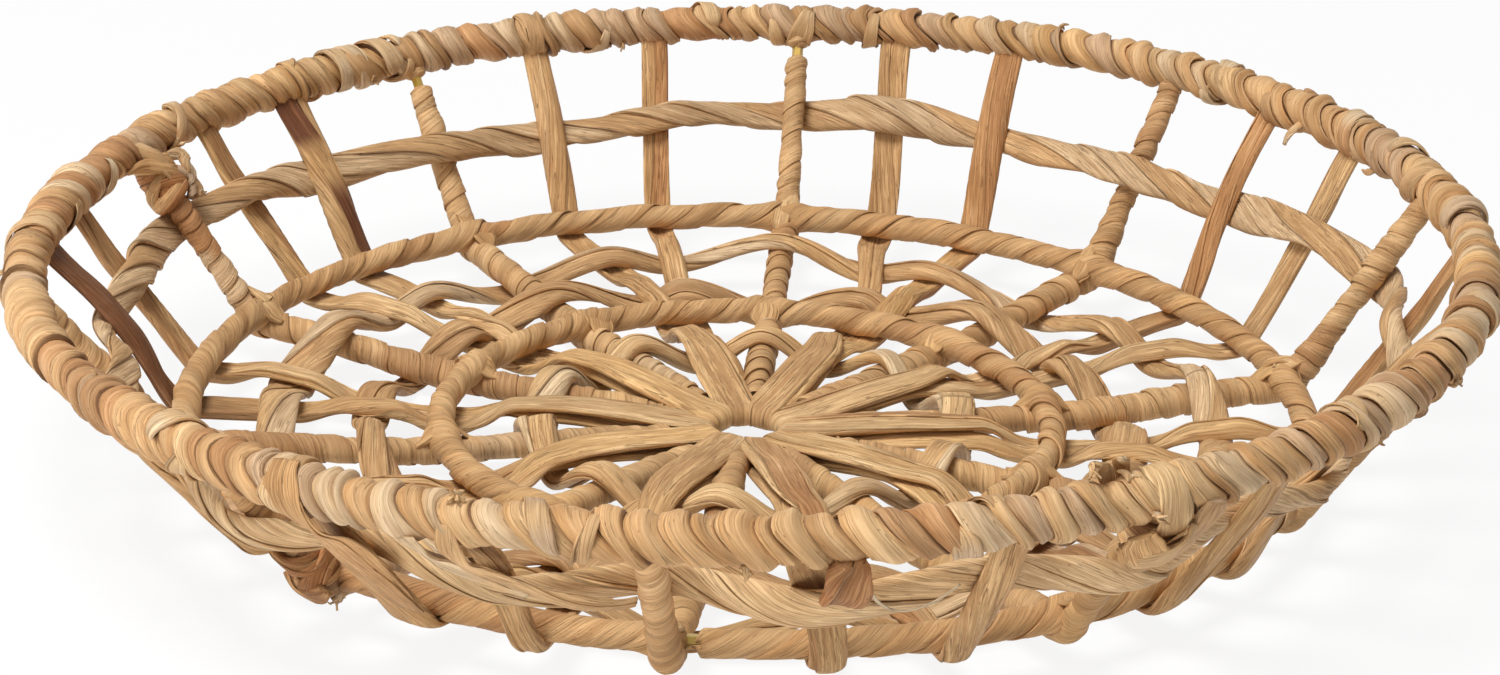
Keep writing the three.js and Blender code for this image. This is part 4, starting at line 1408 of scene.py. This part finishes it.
TIES = {"back_left_tie": "back_left_knot", "front_right_tie": "front_right_knot",
        "front_left_tie": "front_left_knot"}
PALE_END, GREY_END, STRAW_END, BROWN_END = (
    {name: 0.7, "tan": 0.3} for name in ("pale", "grey", "straw", "brown")
)
TAN_END = {"tan": 0.3}
KNOT_ENDS = {
    "back_left_tie": (
        (((157.2, -9, 3), (156.0, -9, 6.5), (155.2, -11, 8.2), (156.2, -14, 8), (155.2, -17, 7.2),
          (156.1, -20, 6.4), (155.3, -23, 5.6), (155.8, -26, 4)), 4.0, 1.6, PALE_END, 2.4),
        (((157.2, -13, 4), (156.4, -15, 7), (155.8, -19, 7.0), (156.3, -23, 5.4), (156.9, -25, 4)),
         3.6, 1.2, GREY_END, 2.2),
        (((161.5, -6, 0), (160.2, -8, 6), (158.5, -12, 7.4), (156.4, -16, 6.6), (154.8, -19, 2)),
         5.5, 0.1, TAN_END, 1.4),
    ),
    "front_right_tie": (
        (((298.6, 4, 7.5), (298.8, 8.8, 2), (299.1, 7, -6), (299.4, 0, -9.6), (299.7, -7, -9),
          (299.9, -11, -5)), 11.5, 0.05, STRAW_END, 1.4),
        (((302.4, 5, -7.4), (302.2, -2, -9.6), (301.6, -9, -10.4), (300.6, -16, -10), (299.6, -23, -8.5)),
         9, 0.12, GREY_END, 1.6),
        (((296.8, -2, -9.0), (297.2, -6, -11.4), (298.3, -11, -12.4), (299.6, -15, -11.6),
          (300.6, -18, -8.5)), 12, 0.1, TAN_END, 2.0),
        (((301.4, -2, -9.0), (300.9, -6, -11.8), (299.6, -10, -13), (298.2, -14, -12.4), (297.2, -17, -9)),
         11, 0.1, STRAW_END, 2.0),
        (((296.6, -8, -8), (297.3, -16, -9.6), (299, -21, -10), (301.2, -21, -9), (302.6, -17, -7.6)),
         6.5, 0.2, TAN_END, 2.0),
    ),
    "front_left_tie": (
        (((226.5, -60, -4), (227.6, -64, -7), (229.2, -66, -8), (230.8, -64, -7), (232, -60, -5)),
         6, 0.2, BROWN_END, 1.6),
    ),
}
KNOT_TINTS = {
    "back_left_tie": {"tan": 0.55, "russet": 0.3, "straw": 0.15},
    "front_right_tie": {"straw": 0.4, "tan": 0.4, "brown": 0.2},
    "front_left_tie": {"tan": 0.4, "brown": 0.35, "russet": 0.25},
}
KNOT_LOOPS = 5
KNOT_FRAYS = {  # azimuth, climb, offset, fibres
    "back_left_tie": ((155.4, -25, 5.0, 5),),
    "front_right_tie": ((298.6, -21, -8.5, 7), (296.6, -12, -9, 4), (297.6, 4, -8, 3)),
    "front_left_tie": ((231.5, -68, -5, 5),),
}


def tie_loops(work, rib, reach, draws, shares):
    """Bands of leaf round a rib, laid across each other."""
    centre = place_on(RIBS[rib], reach, 0)
    inward = unit(inward_of(RIBS[rib], reach))
    ahead = unit(place_on(RIBS[rib], reach + 1 * MM, 0) - centre)
    turn = np.arange(120) * TURN / 120
    way = np.cross(inward, ahead) * np.cos(turn)[:, None] + inward * np.sin(turn)[:, None]
    look = strip_look(laps=[0.02, 0.5], lap=0.4 * MM, fold=0.4 * MM, crease=0.3 * MM, pleat=0.2 * MM,
                      curl=0.15, contrast=1.0, tints=tints(**shares))
    for index in range(KNOT_LOOPS):
        out = RIB_WRAP + (0.4 + 0.35 * index) * MM
        tilt = (2.5 + 2.5 * draws.uniform()) * MM * (1 if index % 2 else -1)
        climb = tilt * np.cos(turn + draws.uniform(0, TURN)) + draws.uniform(-4, 4) * MM
        band = Line(centre + way * out + ahead * climb[:, None], way, closed=True)
        width = draws.uniform(2.6, 3.8) * MM
        folded_strip(
            work, band,
            lambda share, width=width: width * (1 + 0.1 * wander(draws, len(share), 14, True)),
            lambda share: 1.1 * MM + 0 * share, lambda share: 0.3 * wander(draws, len(share), 20, True),
            look, draws, step=0.9 * MM,
        )


class BASKET_OT_tie_knots(bpy.types.Operator):
    """Knot the leaf ends round the three ribs that carry them"""
    bl_idname = "basket.tie_knots"
    bl_label = "Tie Knots"

    def execute(self, context):
        for name, node in TIES.items():
            middle = cad_points(node).mean(0)
            rib = int(np.argmin(np.abs(wrapped(azimuth_of(middle[None]) - RIBS))))
            reach = np.arange(*wall_span(RIBS[rib]), 0.2 * MM)
            away = np.linalg.norm(place_on(RIBS[rib], reach, 0) - middle, axis=1)
            draws = np.random.default_rng(SEEDS["knots"] + rib)
            work = Leafwork()
            tie_loops(work, rib, reach[np.argmin(away)], draws, KNOT_TINTS[name])
            lay_ends(work, KNOT_ENDS[name], draws)
            for place in KNOT_FRAYS[name]:
                fray(work, *place, draws, tints(tan=0.5, pale=0.5))
            piece = work.piece(name, leaf("knotted_leaf", streak=0.6))
            set_in_place(piece, node)
        return {"FINISHED"}


# The stage.

CAMERA_DISTANCE = 5.1304 * RIM_RADIUS
CAMERA_ELEVATION = math.radians(19.57)
CAMERA_DROP = 0.028  # how far below the rim's middle it aims, in radians
CAMERA_YAW = 0.0003
CAMERA_ROLL = 0.0261
FOCAL_SHARE = 3667.4 / 1500  # focal length over the width of the picture
SENSOR = 36.0  # millimetres
ROOM_LIGHT = 0.28
LIGHTS = {  # where each stands, how wide it is and its power
    "key_light": ((-0.6, -0.45, 1.95), 1.0, 35.5), "fill_light": ((-1.2, -1.4, 0.55), 1.2, 12.0),
}
LIGHTS_AIM = (0, 0, 0.03)
FLOOR_HALF = 6.0
FLOOR_GLOW = 0.88  # how much of the background's white the floor shows; the rest keeps the shadow
WHITE = (1, 1, 1, 1)


def set_camera():
    middle = np.array([0, 0, RIM_PLANE[0]])
    back = np.array([0, -math.cos(CAMERA_ELEVATION), math.sin(CAMERA_ELEVATION)])
    pitch = CAMERA_ELEVATION + CAMERA_DROP
    ahead = np.array([
        math.sin(CAMERA_YAW) * math.cos(pitch), math.cos(CAMERA_YAW) * math.cos(pitch), -math.sin(pitch)
    ])
    right = np.array([math.cos(CAMERA_YAW), -math.sin(CAMERA_YAW), 0])
    up = np.cross(right, ahead)
    rolled_right = math.cos(CAMERA_ROLL) * right + math.sin(CAMERA_ROLL) * up
    rolled_up = -math.sin(CAMERA_ROLL) * right + math.cos(CAMERA_ROLL) * up
    camera = bpy.data.objects.new("camera", bpy.data.cameras.new("camera"))
    camera.data.sensor_width = SENSOR
    camera.data.lens = SENSOR * FOCAL_SHARE
    bpy.context.scene.collection.objects.link(camera)
    place = middle + back * CAMERA_DISTANCE
    rows = np.column_stack([rolled_right, rolled_up, -ahead, place])
    camera.matrix_world = Matrix([*rows.tolist(), (0, 0, 0, 1)])
    bpy.context.scene.camera = camera


def soft_light(name, place, width, power):
    light = bpy.data.lights.new(name, "AREA")
    light.shape, light.size, light.energy = "DISK", width, power
    lamp = bpy.data.objects.new(name, light)
    lamp.location = place
    direction = np.array(LIGHTS_AIM) - np.array(place)
    azimuth = math.atan2(direction[1], direction[0])
    fall = math.acos(-direction[2] / np.linalg.norm(direction))
    lamp.rotation_euler = (fall, 0, azimuth - math.pi / 2)
    bpy.context.scene.collection.objects.link(lamp)


def seen_rays(make):
    """1 for the rays that look at the background, straight or in a shiny or clear surface."""
    rays = make.node("ShaderNodeLightPath")
    seen = make.value(rays, "Is Camera Ray") + make.value(rays, "Is Glossy Ray")
    return seen + make.value(rays, "Is Transmission Ray")


def set_floor():
    mesh = bpy.data.meshes.new("floor")
    corners = [(x * FLOOR_HALF, y * FLOOR_HALF, 0) for x, y in ((-1, -1), (1, -1), (1, 1), (-1, 1))]
    mesh.from_pydata(corners, [], [(0, 1, 2, 3)])
    floor = bpy.data.objects.new("floor", mesh)
    bpy.context.scene.collection.objects.link(floor)
    make = Finish("pale_floor")
    plain = {"Base Color": tuple(colours().floor) + (1,), "Roughness": 0.9}
    plain = make.value(make.node("ShaderNodeBsdfPrincipled", plain))
    white = make.value(make.node("ShaderNodeEmission", {"Color": WHITE, "Strength": 1.0}))
    mix = make.node("ShaderNodeMixShader", {0: seen_rays(make) * FLOOR_GLOW, 1: plain, 2: white})
    make.node("ShaderNodeOutputMaterial", {"Surface": make.value(mix)})
    mesh.materials.append(make.material)


def set_world():
    world = bpy.data.worlds.new("soft_room")
    bpy.context.scene.world = world
    make = Finish("", world)
    room, white = (
        make.value(make.node("ShaderNodeBackground", {"Color": WHITE, "Strength": strength}))
        for strength in (ROOM_LIGHT, 1.0)
    )
    mix = make.node("ShaderNodeMixShader", {0: seen_rays(make), 1: room, 2: white})
    make.node("ShaderNodeOutputWorld", {"Surface": make.value(mix)})


class BASKET_OT_set_stage(bpy.types.Operator):
    """Lay the pale floor and set the lights and the camera"""
    bl_idname = "basket.set_stage"
    bl_label = "Set Stage"

    def execute(self, context):
        context.scene.view_settings.view_transform = "Standard"
        set_camera()
        set_floor()
        set_world()
        for name, settings in LIGHTS.items():
            soft_light(name, *settings)
        return {"FINISHED"}


STEPS = (
    BASKET_OT_lacquer_wires, BASKET_OT_wind_rim, BASKET_OT_wind_rings, BASKET_OT_wind_ribs,
    BASKET_OT_fold_strands, BASKET_OT_weave, BASKET_OT_tie_knots, BASKET_OT_set_stage,
)


class BASKET_PT_steps(bpy.types.Panel):
    """The steps that dress the basket, and its sizes and colours"""
    bl_idname = "BASKET_PT_steps"
    bl_label = "Wound Leaf Basket"
    bl_space_type = "VIEW_3D"
    bl_region_type = "UI"
    bl_category = "Basket"

    def draw(self, context):
        for group in (context.scene.basket_sizes, context.scene.basket_colours):
            column = self.layout.column()
            for name in group.__annotations__:
                column.prop(group, name)
        for step in STEPS:
            self.layout.operator(step.bl_idname)


CLASSES = (BasketSizes, BasketColours, *STEPS, BASKET_PT_steps)


def register():
    for item in CLASSES:
        bpy.utils.register_class(item)
    bpy.types.Scene.basket_sizes = bpy.props.PointerProperty(type=BasketSizes)
    bpy.types.Scene.basket_colours = bpy.props.PointerProperty(type=BasketColours)


def unregister():
    del bpy.types.Scene.basket_colours
    del bpy.types.Scene.basket_sizes
    for item in reversed(CLASSES):
        bpy.utils.unregister_class(item)


def main():
    register()
    for step in STEPS:
        group, name = step.bl_idname.split(".")
        getattr(getattr(bpy.ops, group), name)()


if __name__ == "__main__":
    main()
